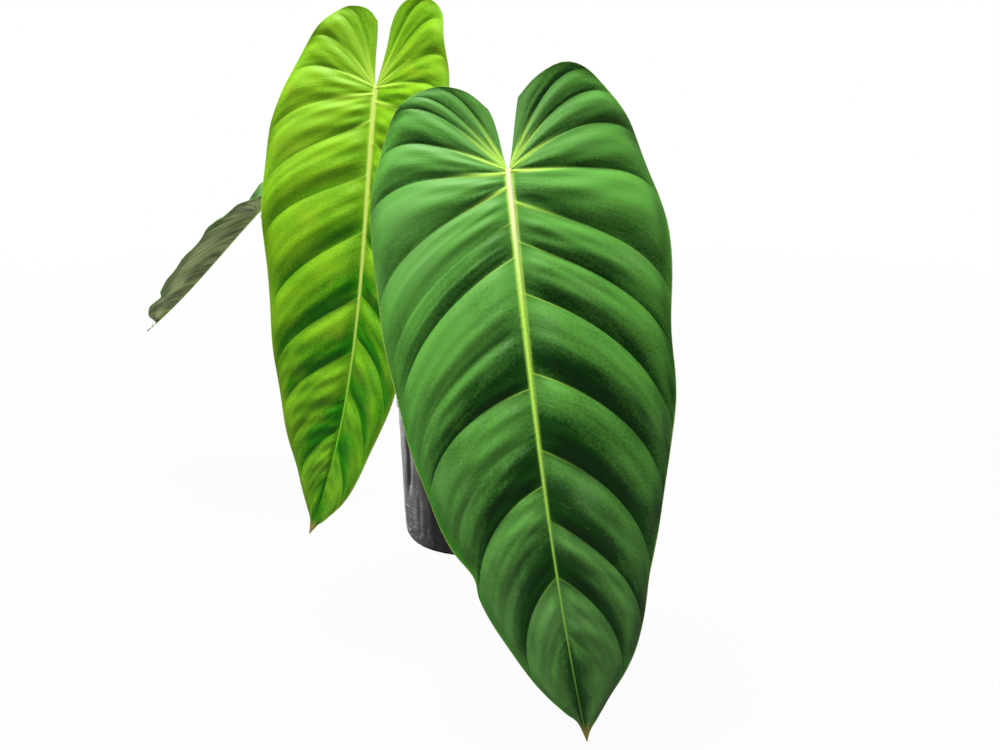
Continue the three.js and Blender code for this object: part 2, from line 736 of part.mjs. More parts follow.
addPiece('pot', makeBag(), 0x2b2b2c, 0.55);
addPiece('soil', makeMix(), 0x3a2a1e, 0.95);
addPiece('stem', makeStem(), 0x6f7a3c, 0.7);
addPiece('new_leaf', spearTube(0), 0x9fbf4a, 0.4);
addPiece('dry_sheath', makeSheath(), 0x9a7a52, 0.85);
for (const leaf of leaves) {
  addPiece(`petiole_${leaf.name}`, petioleTube(leaf, 0), 0x6f9a3a, 0.5);
  addPiece(`blade_${leaf.name}`, makeBlade(leaf), leaf.color, leaf.roughness);
}

export default group;
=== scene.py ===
"""A young philodendron esmeraldense in a soft black nursery bag, finished over its solid model.

Metres, +Z up. The origin is the middle of the bag's base. Each operator makes one piece or a group of
like pieces, from the sizes and colours in the scene's property groups.
"""

import math
import random

import bmesh
import bpy
import numpy as np
from mathutils import Matrix, Vector, noise


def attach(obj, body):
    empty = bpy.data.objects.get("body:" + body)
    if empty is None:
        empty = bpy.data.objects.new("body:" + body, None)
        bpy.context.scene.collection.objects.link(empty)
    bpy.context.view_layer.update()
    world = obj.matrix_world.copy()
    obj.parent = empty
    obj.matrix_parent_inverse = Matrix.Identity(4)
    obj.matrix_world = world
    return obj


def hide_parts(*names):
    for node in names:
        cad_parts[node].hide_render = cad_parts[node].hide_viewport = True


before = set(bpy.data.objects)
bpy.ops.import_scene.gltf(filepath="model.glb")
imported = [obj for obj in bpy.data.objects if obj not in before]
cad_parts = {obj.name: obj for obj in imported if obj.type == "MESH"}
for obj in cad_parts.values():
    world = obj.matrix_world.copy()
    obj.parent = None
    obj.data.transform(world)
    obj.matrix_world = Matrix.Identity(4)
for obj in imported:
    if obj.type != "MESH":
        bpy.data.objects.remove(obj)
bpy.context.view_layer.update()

bl_info = {
    "name": "Potted philodendron esmeraldense",
    "version": (1, 0, 0),
    "blender": (4, 5, 0),
    "location": "3D View > Sidebar > Philodendron",
    "description": "Quilted leaves, petioles, stem, potting mix and nursery bag of a young philodendron",
    "category": "Add Mesh",
}

# Halves of the front leaf. Places are (distance from the midrib, distance below the sinus).
# sinus holds the two control points of the edge from the sinus to the first margin point, and margin runs
# round the lobe and down to the tip. Each vein has the place of its root on the midrib, its angle to the
# midrib in degrees, the margin station where it ends, counted in margin points, and its strength.
FRONT_RIGHT = {
    "sinus": [(0.0035, -0.01), (0.0065, -0.03)],
    "margin": [
        (0.01, -0.043), (0.023, -0.055), (0.04, -0.0615), (0.057, -0.055), (0.073, -0.036),
        (0.085, -0.012), (0.094, 0.018), (0.096, 0.054), (0.092, 0.101), (0.0875, 0.141),
        (0.0795, 0.176), (0.0665, 0.21), (0.0565, 0.238), (0.0473, 0.266), (0.0308, 0.292),
        (0.01, 0.3125), (0.0032, 0.3195), (0, 0.326),
    ],
    "veins": [
        (0, 153, 2.8, 1), (0, 147, 3.7, 1), (0, 129, 4.7, 1), (0, 89, 5.9, 1), (0.018, 70, 7.5, 1),
        (0.041, 67, 8.3, 1), (0.071, 68, 9.5, 1), (0.1165, 70, 10.6, 1), (0.16, 65, 12, 1),
        (0.199, 54, 13.2, 0.7), (0.231, 52, 14.2, 0.9), (0.265, 42, 14.8, 0.5),
    ],
}
FRONT_LEFT = {
    "sinus": [(0.0035, -0.01), (0.0025, -0.027)],
    "margin": [
        (0.0083, -0.0375), (0.02, -0.0485), (0.037, -0.0532), (0.054, -0.049), (0.067, -0.037),
        (0.0765, -0.015), (0.084, 0.01), (0.0863, 0.034), (0.0845, 0.07), (0.081, 0.11),
        (0.0757, 0.144), (0.0682, 0.177), (0.0577, 0.208), (0.0474, 0.226), (0.0454, 0.24),
        (0.036, 0.262), (0.0245, 0.2855), (0.0095, 0.3065), (0.0031, 0.314), (0, 0.326),
    ],
    "veins": [
        (0, 155, 2, 1), (0, 145, 3, 1), (0, 138, 3.7, 1), (0, 121, 4.9, 1), (0.0015, 93, 6.1, 1),
        (0.009, 68, 8, 1), (0.03, 64, 9, 0.4), (0.05, 66, 9.7, 1), (0.09, 66, 10.7, 0.45),
        (0.1255, 79, 11.2, 1), (0.15, 66, 12.5, 0.35), (0.18, 71, 14.1, 1), (0.205, 58, 15.3, 0.4),
        (0.231, 55, 16.2, 0.9), (0.265, 42, 17, 0.5),
    ],
}
LEFT_RIGHT = {
    "sinus": [(0.0032, -0.008), (0.008, -0.024)],
    "margin": [
        (0.0104, -0.038), (0.0155, -0.047), (0.025, -0.053), (0.037, -0.054), (0.0485, -0.05),
        (0.0568, -0.041), (0.062, -0.025), (0.0657, -0.008), (0.0678, 0.015), (0.0683, 0.045),
        (0.0665, 0.08), (0.0625, 0.115), (0.056, 0.15), (0.047, 0.18), (0.0405, 0.204),
        (0.0347, 0.226), (0.0265, 0.252), (0.0182, 0.272), (0.0088, 0.287), (0.0037, 0.293),
        (0, 0.3017),
    ],
    "veins": [
        (0, 146, 3.6, 1), (0, 136, 5.4, 1), (0, 116, 7, 1), (0, 93, 8.1, 1), (0.009, 76, 9.2, 1),
        (0.036, 66, 10.3, 1), (0.069, 66, 11.3, 1), (0.102, 66, 12.3, 1), (0.135, 64, 13.3, 1),
        (0.163, 68, 14.4, 0.9), (0.198, 60, 16, 0.9), (0.238, 50, 17.2, 0.7), (0.265, 42, 18.2, 0.5),
    ],
}
LEFT_LEFT = {
    "sinus": [(0.0032, -0.014), (0.0008, -0.032)],
    "margin": [
        (0.002, -0.044), (0.008, -0.051), (0.017, -0.0535), (0.027, -0.0523), (0.038, -0.045),
        (0.048, -0.033), (0.057, -0.016), (0.065, 0.006), (0.072, 0.03), (0.0745, 0.062),
        (0.073, 0.09), (0.068, 0.124), (0.0615, 0.158), (0.054, 0.192), (0.045, 0.22), (0.033, 0.246),
        (0.021, 0.266), (0.01, 0.282), (0.0034, 0.292), (0, 0.3017),
    ],
    "veins": [
        (0, 154, 2.7, 1), (0, 150, 3.6, 1), (0, 138, 5, 1), (0, 117, 6.4, 1), (0.004, 84, 8.1, 1),
        (0.021, 66, 9.3, 1), (0.057, 70, 10.4, 1), (0.094, 66, 11.9, 1), (0.137, 61, 13.1, 1),
        (0.173, 61, 14.2, 1), (0.204, 60, 15.2, 0.5), (0.226, 50, 16.2, 0.9), (0.258, 40, 17.3, 0.5),
    ],
}
BACK_RIGHT = {
    "sinus": [(0.0022, -0.0063), (0.0016, -0.017)],
    "margin": [
        (0.005, -0.0236), (0.012, -0.0306), (0.0227, -0.0335), (0.0334, -0.0309), (0.0416, -0.0233),
        (0.0469, -0.0095), (0.0488, 0.0063), (0.0482, 0.0214), (0.0463, 0.0441), (0.0444, 0.0693),
        (0.0425, 0.0907), (0.0397, 0.1096), (0.0343, 0.1247), (0.0296, 0.1336), (0.0295, 0.1418),
        (0.0299, 0.153), (0.0249, 0.1676), (0.0154, 0.1802), (0.0066, 0.1887), (0.002, 0.1937),
        (0, 0.2123),
    ],
    "veins": [
        (0, 151, 2, 1), (0, 141, 3, 1), (0, 130, 4, 1), (0, 114, 5.3, 1), (0.001, 92, 6.5, 1),
        (0.0054, 68, 8.1, 1), (0.0183, 64, 9.1, 0.4), (0.0309, 65, 10, 1), (0.0567, 66, 10.8, 0.45),
        (0.0788, 72, 11.5, 1), (0.0945, 66, 12.5, 0.35), (0.112, 63, 14.3, 1), (0.129, 58, 15.5, 0.4),
        (0.1455, 55, 17, 0.9), (0.167, 42, 18, 0.5),
    ],
}


def resized(half, width, length):
    """A half's numbers at another width and another length."""
    return {
        "sinus": [(u * width, v * length) for u, v in half["sinus"]],
        "margin": [(u * width, v * length) for u, v in half["margin"]],
        "veins": [(root * length, *rest) for root, *rest in half["veins"]],
    }


# The back leaf's other half is the front leaf's, smaller and narrower. Its midrib and veins are smaller too.
BACK_WIDTH, BACK_SCALE = 0.52, 0.63
BACK_LEFT = resized(FRONT_RIGHT, BACK_WIDTH, BACK_SCALE)

# Place and bend of each blade. midrib is a cubic curve from the sinus to the tip, face is the way that the
# blade looks, fold is the rise of its halves at the sinus and at the tip in degrees, and curl and lobe_bend
# are curvatures per metre. quilting is a share of the full quilting. The petiole starts in the stem, passes
# its route and comes to the blade at places that are given as down and out of its face.
PETIOLE_SEAT, LEVEL_SEAT = 0.0041, 0.00464
LEAVES = {
    "front": {
        "right": FRONT_RIGHT,
        "left": FRONT_LEFT,
        "scale": 1.0,
        "quilting": 1.0,
        "midrib": [
            (0.0277, -0.24, 0.329), (0.0387, -0.286, 0.231), (0.049, -0.324, 0.129), (0.0715, -0.344, 0.025),
        ],
        "face": (0.05, -1, 0.35),
        "fold": (-6, -10),
        "curl": -3.5,
        "lobe_bend": -4.0,
        "start": (0.001, -0.008, 0.124),
        "route": [(0.003, -0.024, 0.152), (0.007, -0.066, 0.222), (0.015, -0.142, 0.29)],
        "approach": [(0, -0.03), (0, -PETIOLE_SEAT)],
        "slot": "leaf_deep_green",
    },
    "left": {
        "right": LEFT_RIGHT,
        "left": LEFT_LEFT,
        "scale": 1.0,
        "quilting": 0.72,
        "midrib": [
            (-0.058, -0.13, 0.37), (-0.067, -0.16, 0.275), (-0.067, -0.179, 0.173), (-0.106, -0.185, 0.08),
        ],
        "face": (-0.55, -1, 0.3),
        "fold": (15, 12),
        "curl": 0.0,
        "lobe_bend": -2.0,
        "start": (-0.007, -0.0055, 0.142),
        "route": [(-0.015, -0.013, 0.172), (-0.023, -0.034, 0.25), (-0.032, -0.066, 0.322)],
        "approach": [(0, -0.03), (0, -PETIOLE_SEAT)],
        "slot": "leaf_young_green",
    },
    "back": {
        "right": BACK_RIGHT,
        "left": BACK_LEFT,
        "scale": BACK_SCALE,
        "quilting": 1.0,
        "midrib": [
            (-0.172, 0.03, 0.266), (-0.213, 0.067, 0.226), (-0.256, 0.106, 0.178), (-0.304, 0.137, 0.139),
        ],
        "face": (-0.687, 0.031, 0.726),
        "fold": (18, 27),
        "curl": 0.0,
        "lobe_bend": 2.0,
        "start": (-0.007, 0.004, 0.134),
        "route": [(-0.018, 0.011, 0.158), (-0.052, 0.019, 0.212), (-0.098, 0.021, 0.247)],
        "approach": [(-0.018, -0.022), (0, -LEVEL_SEAT)],
        "slot": "leaf_olive_green",
    },
}

# Sampling of the fine blades: columns of one lobe panel as shares of it, and columns along the midrib
PANEL_SHARES = (0, 0.015, 0.05, 0.1, 0.17, 0.26, 0.36, 0.46, 0.56, 0.66, 0.76, 0.85, 0.92, 0.975)
COLUMN_SPACING, COLUMNS_PER_PANEL, VEIN_FLANK = 0.0019, 12, 0.0005

# Rows over the midrib as shares of its half width, the most of a vein that one of them takes, rows from
# there to the margin, and the least sine of a vein's angle that the rows are laid for
RIB_ROWS = (0.3, 0.6, 0.85, 1.0, 1.25, 1.6)
RIB_ROW_STEP, OUTER_ROWS, MARGIN_ROLL, LEAST_SLANT = 0.06, 52, 0.0005, 0.45

# A vein weaker than WEAK_VEIN stands inside a panel and doesn't split it. The angles are those of the last
# line to the midrib, and of the sinus's edge to the first vein.
WEAK_VEIN, TIP_ANGLE, SINUS_OPENING = 0.6, 30, 8

# Course of a vein: the shares of its reach over which it leaves the midrib and comes to the margin, and how
# far it turns along the margin there
VEIN_LEAVE, VEIN_ARRIVE, VEIN_TURN = 0.42, 0.3, 0.8

# Quilting: the shares of a vein at which it is full and starts to die out, how much of it is lost at the
# margin, and the width of a panel below which its waves are lower
QUILT_FULL, QUILT_FADE, QUILT_LOSS, BROAD_PANEL = 0.12, 0.78, 0.85, 0.02

# Raised threads of the veins next to the midrib: height, run and half width. Then the half width of a vein
# on the underside, and that of the keel over the midrib's.
THREAD_RISE, THREAD_RUN, THREAD_WIDTH = 0.0006, 0.02, 0.0007
UNDER_VEIN_WIDTH, KEEL_WIDTH = 0.0008, 1.35

# Petiole: shares of its length at which its radius is given, what is left of the base radius at the second
# of them, and the heights of its ridges. The channel has a depth as a share of the radius, a place round the
# stalk and a width there. So have the collar under the blade and the dent below that, but along the stalk.
PETIOLE_STEPS, PETIOLE_TAPER = (0, 0.12, 0.45, 1), 0.86
BROAD_RIDGE, FINE_RIDGE = 0.00006, 0.00004
CHANNEL, COLLAR, DENT = (-0.05, 0.25, 0.07), (0.1, 0.965, 0.022), (-0.05, 0.93, 0.006)

# New leaf, still rolled: its route, how often it winds, how much its edge laps over as a share of its
# radius, and a factor on the whole radius
SPEAR_ROUTE = [(0.003, 0.0035, 0.146), (0.004, 0.005, 0.175), (0.007, 0.01, 0.215), (0.013, 0.019, 0.262)]
SPEAR_WINDING, SPEAR_LAP, SPEAR_SHARE = 1.5, 0.13, 0.99

# Dry sheath that held it: heights, lean and curl at its top, angles in degrees, the share of its opening
# that closes towards the top, the heights of its ribs and tears, and its gap to what it holds
SHEATH_FOOT, SHEATH_TOP, SHEATH_LEAN, SHEATH_CURL = 0.131, 0.204, 0.007, 0.0022
SHEATH_HALF_ANGLE, SHEATH_MIDDLE_ANGLE, SHEATH_CLOSING = 62, 22, 0.86
SHEATH_RIBS, SHEATH_TEARS, SHEATH_GAP = (0.00018, 0.00012), (0.005, 0.002, 0.003), 0.0003

# Bag: outer radius by height, hem and rim, tops of the floor inside it and of its rounded edge, the radii
# between which creases begin and the height over which they do, the heights between which the fine wrinkles
# begin and end, and the drain holes
BAG_OUTER = [
    (0.05, 0), (0.0536, 0.0014), (0.0553, 0.005), (0.0567, 0.025), (0.0578, 0.055), (0.0592, 0.095),
    (0.0599, 0.113),
]
HEM_LOW, RIM_HEIGHT, RIM_ROLL = 0.1145, 0.13, 0.0012
FLOOR_TOP, FLOOR_EDGE = 0.002, 0.0026
STIFF_RADIUS, SOFT_RADIUS, CREASE_FOOT = 0.044, 0.052, 0.012
WRINKLES_START, WRINKLES_END = (0.0008, 0.004), (0.012, 0.034)
DRAIN_RADIUS, DRAIN_CIRCLE, DRAIN_COUNT, DRAIN_DEPTH = 0.004, 0.028, 4, 0.012

# Sharper folds in the film: the angle and the width in degrees, the depth, and the heights between which
# each runs. FOLD_END is the height over which one dies out, and FOLD_WANDER its wandering in degrees.
FOLD_END, FOLD_WANDER = 0.02, 2.5
FILM_FOLDS = (
    (168, 3.0, 0.0012, 0.02, 0.12),
    (187, 2.2, 0.0009, 0.006, 0.1),
    (206, 3.0, 0.0022, 0.036, 0.128),
    (224, 2.0, 0.0004, 0.004, 0.06),
    (241, 3.2, 0.0012, 0.012, 0.118),
    (262, 2.0, 0.0007, 0.05, 0.128),
    (290, 3.0, 0.0012, 0.01, 0.11),
    (318, 2.2, 0.0009, 0.02, 0.125),
    (345, 2.8, 0.0011, 0.005, 0.09),
    (12, 2.4, 0.001, 0.02, 0.12),
    (41, 3.0, 0.0012, 0.03, 0.128),
    (73, 2.2, 0.0009, 0.006, 0.1),
    (102, 2.6, 0.0011, 0.01, 0.12),
    (137, 2.2, 0.0009, 0.03, 0.11),
)

# Potting mix: heights at the wall, in the middle and of its floor, its gaps to the film and the stem, its
# radius at the wall, the radii between which its lumps die out, those between which loose grains lie, and the
# radius and the height beyond which it follows the creases in the film
MIX_EDGE, MIX_CROWN, MIX_FLOOR, MIX_GAP, STEM_GAP = 0.112, 0.1165, 0.0024, 0.0004, 0.0005
MIX_RADIUS, LUMPY_RADIUS, LEVEL_RADIUS = 0.056, 0.053, 0.057
LOOSE_INNER, LOOSE_OUTER = 0.0145, 0.0545
CREASED_RADIUS, CREASED_HEIGHT = 0.048, 0.004

# Loose grains: the seed of their draws, their least and greatest radius, and their height over their width
LOOSE_GRAINS = {
    "peat_crumbs": (3, (0.0006, 0.0019), 0.8),
    "bark_chips": (5, (0.0018, 0.0042), 0.35),
    "perlite_grains": (8, (0.0008, 0.0018), 0.85),
}

# Stem: heights, radii, rings and the heights of its coarse and fine roughness. STEM_CROWN is the height above
# the last ring. RING_OUTLINE has places of one ring as (share of its height, change of the radius there,
# change of the height).
STEM_FOOT, STEM_COLLAR, STEM_TOP, STEM_CROWN = 0.062, 0.119, 0.151, 0.004
STEM_ROUGH_FOOT, STEM_ROUGHNESS = STEM_COLLAR - 0.008, (0.00025, 0.00012)
STEM_BURIED, STEM_BASE, STEM_TIP = 0.012, 0.0116, 0.0094
STEM_RINGS = 4
RING_STEP = (STEM_TOP - STEM_COLLAR - STEM_CROWN) / STEM_RINGS
RING_OUTLINE = (
    (0, -0.0003, 0.0015), (0.5, -0.0006, 0), (1, -0.0005, -0.002), (1, 0.0007, -0.0011), (1, 0.0007, -0.0005),
)

# Roots: the angles at which they leave the stem, and one's route as (radius, height), down into the mix.
# ROOT_SHARE is a factor on their radius.
ROOT_ANGLES = (18, 98, 186, 322)
ROOT_ROUTE = ((0.006, 0.124), (0.015, 0.1255), (0.024, 0.119), (0.031, 0.1085), (0.033, 0.084))
ROOT_TIP, ROOT_SHARE = 0.0015, 0.96

# Weights in the look of a blade's upper face: its painted grey sheen, its ochre patches, its vein lines, the
# brighter green near its two margins, the painted shade above each vein and what is left of that at the
# sinus, the painted fall of light from the sinus to the tip and from left to right, the painted shade of its
# lobes, and the share of its underside that is dull olive
DEEP_LOOK = {
    "painted_sheen": 0.38, "tinted": 0.0, "lines": 0.45, "rim_left": 0.5, "rim_right": 0.0, "depth": 0.8,
    "calm": 1.0, "painted_fall": 0.6, "side": 0.15, "lobe": 0.35, "dull": 0.35,
}
YOUNG_LOOK = {
    "painted_sheen": 0.12, "tinted": 0.15, "lines": 0.4, "rim_left": 0.45, "rim_right": 0.45, "depth": 0.6,
    "calm": 0.35, "painted_fall": 0.65, "side": 0.2, "lobe": 0.15, "dull": 0.35,
}
LOOKS = {"front": DEEP_LOOK, "left": YOUNG_LOOK, "back": DEEP_LOOK | {"dull": 1.0}}

# Camera of the photograph, worked out from the ellipse of the bag's base
CAMERA_PLACE = (0.0229, -0.9112, 0.4057)
CAMERA_PITCH, CAMERA_LENS, SENSOR_WIDTH = 16.43, 42, 36

# Floor: a wide disc, a hair under the bag
FLOOR_RADIUS, FLOOR_DROP = 30, 0.0002

# Soft lights: place, target and size, and the opening of the side light's beam in degrees
KEY_LIGHT = ((-0.35, -0.3, 2.1), (-0.05, -0.15, 0.2), 0.9)
SIDE_LIGHT, SIDE_SPREAD = ((-1.15, 0.7, 0.05), (-0.04, 0, 0.05), 0.16), 16


def screen(red, green, blue):
    """A colour given as a screen shows it, from 0 to 255, as light."""
    shares = [value / 255 for value in (red, green, blue)]
    return [s / 12.92 if s <= 0.04045 else ((s + 0.055) / 1.055) ** 2.4 for s in shares]


def length_size(name, description, default):
    """A length that a user may change."""
    return bpy.props.FloatProperty(
        name=name, description=description, default=default, min=0, unit="LENGTH", subtype="DISTANCE"
    )


def share_size(name, description, default):
    """A number without a unit that a user may change."""
    return bpy.props.FloatProperty(name=name, description=description, default=default, subtype="FACTOR")


def count_of(name, description, default):
    """A number of like grains that a user may change."""
    return bpy.props.IntProperty(name=name, description=description, default=default, min=0)


def light_power(name, description, default):
    """A light's power that a user may change."""
    return bpy.props.FloatProperty(name=name, description=description, default=default, min=0, unit="POWER")


def colour(name, description, default):
    """A colour that a user may change."""
    return bpy.props.FloatVectorProperty(
        name=name, description=description, default=screen(*default), size=3, min=0, max=1, subtype="COLOR"
    )


class BladeSizes(bpy.types.PropertyGroup):
    """Sizes of the leaf blades."""

    thickness: length_size("Blade thickness", "Thickness of a blade between its veins", 0.0006)
    margin: length_size("Margin thickness", "Thickness of a blade at its edge", 0.00035)
    quilt: share_size("Quilting", "Height of a panel between two veins over its width", 0.125)
    swell: length_size("Swelling", "Height of the slow waves between two veins", 0.00042)
    ripple: length_size("Margin ripple", "Height of the waves along the margin", 0.0022)
    rib_width: length_size("Midrib half width", "Half width of the front leaf's midrib at the sinus", 0.0019)
    rib_tip: length_size("Midrib tip half width", "Half width of the midrib at the tip", 0.0003)
    rib_height: length_size("Midrib height", "Rise of the midrib over the face at the sinus", 0.0012)
    rib_low: length_size("Midrib tip height", "Rise of the midrib over the face at the tip", 0.0003)
    keel: length_size("Keel depth", "Depth of the midrib below the blade at the sinus", 0.003)
    keel_tip: length_size("Keel tip depth", "Depth of the midrib below the blade at the tip", 0.00035)
    vein_depth: length_size("Vein depth", "How far a vein stands out under the blade", 0.0006)


class StalkSizes(bpy.types.PropertyGroup):
    """Sizes of the petioles, the rolled leaf and the dry sheath."""

    base: length_size("Petiole base radius", "Radius where the petiole leaves the stem", 0.0056)
    middle: length_size("Petiole radius", "Radius in the middle of the petiole", 0.0034)
    top: length_size("Petiole top radius", "Radius under the blade", 0.0027)
    spear: length_size("Rolled leaf radius", "Radius of the leaf that is still rolled", 0.0046)
    sheath: length_size("Sheath radius", "Radius of the dry sheath at its foot", 0.0126)
    sheath_top: length_size("Sheath top radius", "Radius of the dry sheath at its top", 0.0086)
    paper: length_size("Sheath thickness", "Thickness of the dry sheath", 0.0004)


class BagSizes(bpy.types.PropertyGroup):
    """Sizes of the bag and of what it holds."""

    wall: length_size("Film thickness", "Thickness of the bag's wall", 0.0015)
    crease: length_size("Crease depth", "Depth of the upright creases", 0.0009)
    wrinkle: length_size("Wrinkle depth", "Depth of the fine wrinkles over the base", 0.00056)
    dent: length_size("Dent depth", "Depth of the slow dents in the film", 0.00035)
    hem: length_size("Hem rise", "How far the folded hem stands out", 0.0013)
    lump: length_size("Soil lumps", "Height of the lumps in the potting mix", 0.00132)
    root: length_size("Root radius", "Radius of a root where it leaves the stem", 0.0021)
    crumbs: count_of("Crumbs", "Number of crumbs of peat on the mix", 700)
    chips: count_of("Chips", "Number of bark chips on the mix", 130)
    grains: count_of("Grains", "Number of perlite grains on the mix", 110)


class PlantColours(bpy.types.PropertyGroup):
    """Colours of the plant and the bag."""

    deep_shade: colour("Front leaf, dark", "Dark green of the front leaf", (12, 56, 6))
    deep_light: colour("Front leaf, light", "Light green of the front leaf", (82, 142, 54))
    # Painted grey sheen of the front leaf: a painted reflection
    deep_painted_sheen: colour("Front leaf, bloom", "Greyish bloom on the front leaf", (96, 134, 80))
    deep_rim: colour("Front leaf, rim", "Brighter green near the front leaf's left margin", (56, 142, 26))
    young_shade: colour("Left leaf, dark", "Dark green of the left leaf", (28, 112, 0))
    young_light: colour("Left leaf, light", "Light green of the left leaf", (122, 170, 22))
    # Painted grey sheen of the left leaf: a painted reflection
    young_painted_sheen: colour("Left leaf, bloom", "Greyish bloom on the left leaf", (112, 160, 60))
    young_rim: colour("Left leaf, rim", "Olive green near the left leaf's margins", (118, 152, 26))
    ochre: colour("Ochre tint", "Ochre patches on the left leaf", (176, 176, 48))
    olive_shade: colour("Back leaf, dark", "Dark green of the back leaf", (34, 70, 24))
    olive_light: colour("Back leaf, light", "Light green of the back leaf", (80, 122, 60))
    under_shade: colour("Underside, dark", "Dark olive of the undersides", (64, 88, 28))
    under_light: colour("Underside, light", "Light olive of the undersides", (192, 208, 138))
    rim_green: colour("Underside, rim", "Greener rim of a blade's underside", (100, 134, 46))
    rib_pale: colour("Midrib at the sinus", "Pale colour of the midrib at the sinus", (236, 240, 176))
    rib_green: colour("Midrib, middle", "Colour of the midrib in its middle", (176, 222, 84))
    rib_end: colour("Midrib at the tip", "Colour of the midrib near the tip", (132, 182, 76))
    young_rib: colour("Left leaf, midrib", "Pale yellow of the left leaf's midrib", (188, 204, 100))
    young_end: colour("Left leaf, midrib's end", "Green of the left leaf's midrib at its end", (120, 192, 48))
    young_line: colour("Left leaf, veins", "Yellow-green of the left leaf's veins", (164, 200, 66))
    margin: colour("Margin", "Thin line along the margin", (168, 190, 92))
    speck: colour("Specks", "Small pale specks on a blade", (190, 210, 130))
    drip_tip: colour("Drip tip", "Drying end of a blade", (146, 132, 66))
    petiole: colour("Petiole", "Green of the petioles", (112, 150, 58))
    petiole_fleck: colour("Petiole flecks", "Pale flecks on the petioles", (178, 196, 120))
    petiole_foot: colour("Petiole foot", "Brown of the petioles near the stem", (126, 84, 60))
    stem: colour("Stem", "Skin of the stem", (108, 116, 62))
    stem_scar: colour("Leaf scars", "Corky rings on the stem", (128, 104, 72))
    root: colour("Roots", "Skin of the roots", (132, 104, 70))
    spear: colour("Rolled leaf", "Pale green of the rolled leaf", (166, 196, 92))
    spear_tip: colour("Rolled leaf, tip", "Browner tip of the rolled leaf", (150, 130, 60))
    sheath: colour("Dry sheath", "Papery brown of the dry sheath", (168, 130, 88))
    sheath_stain: colour("Dry sheath, stains", "Dark stains of the dry sheath", (84, 56, 36))
    film: colour("Bag film", "Black film of the bag", (34, 33, 33))
    dust: colour("Dried soil", "Splashes of dried soil low on the bag", (122, 112, 102))
    peat: colour("Peat", "Dark peat of the mix", (52, 38, 28))
    bark: colour("Bark", "Chips of bark in the mix", (110, 76, 50))
    perlite: colour("Perlite", "White grains in the mix", (226, 222, 212))


class StageSettings(bpy.types.PropertyGroup):
    """Floor and light."""

    floor: colour("Floor", "Pale matt floor under the strong light", (150, 150, 150))
    white_near: share_size("Floor white", "Share of plain white in the floor next to the bag", 0.96)
    key: light_power("Key light", "Power of the soft light above", 96)
    side: light_power("Side light", "Power of the soft light low on the left", 0.45)
    fill: bpy.props.FloatProperty(name="Fill light", description="Brightness of the room", default=0.1, min=0)


def smoothstep(x, low, high):
    share = np.clip((x - low) / (high - low), 0, 1)
    return share * share * (3 - 2 * share)


def mix(low, high, share):
    return low + (high - low) * share


def cubic(points, t):
    """A point of a cubic curve. points holds its four controls."""
    s = 1 - t
    return s**3 * points[0] + 3 * s * s * t * points[1] + 3 * s * t * t * points[2] + t**3 * points[3]


def cubic_slope(points, t):
    s = 1 - t
    first, second, third = points[1] - points[0], points[2] - points[1], points[3] - points[2]
    return 3 * s * s * first + 6 * s * t * second + 3 * t * t * third


def bell(distance, width):
    """1 at no distance, and less on both sides of it."""
    return np.exp(-((distance / width) ** 2))


def unit(vectors):
    return vectors / np.maximum(np.linalg.norm(vectors, axis=-1, keepdims=True), 1e-12)


def travelled(places):
    """Distance from the first place to each one."""
    return np.concatenate([[0], np.cumsum(np.linalg.norm(np.diff(places, axis=0), axis=1))])


def between(here, there, leave, arrive, w):
    """The place at share w of a smooth way between two places, whose rates at both ends are given."""
    third = 2 * here - 2 * there + leave + arrive
    second = 3 * there - 3 * here - 2 * leave - arrive
    return ((third * w + second) * w + leave) * w + here


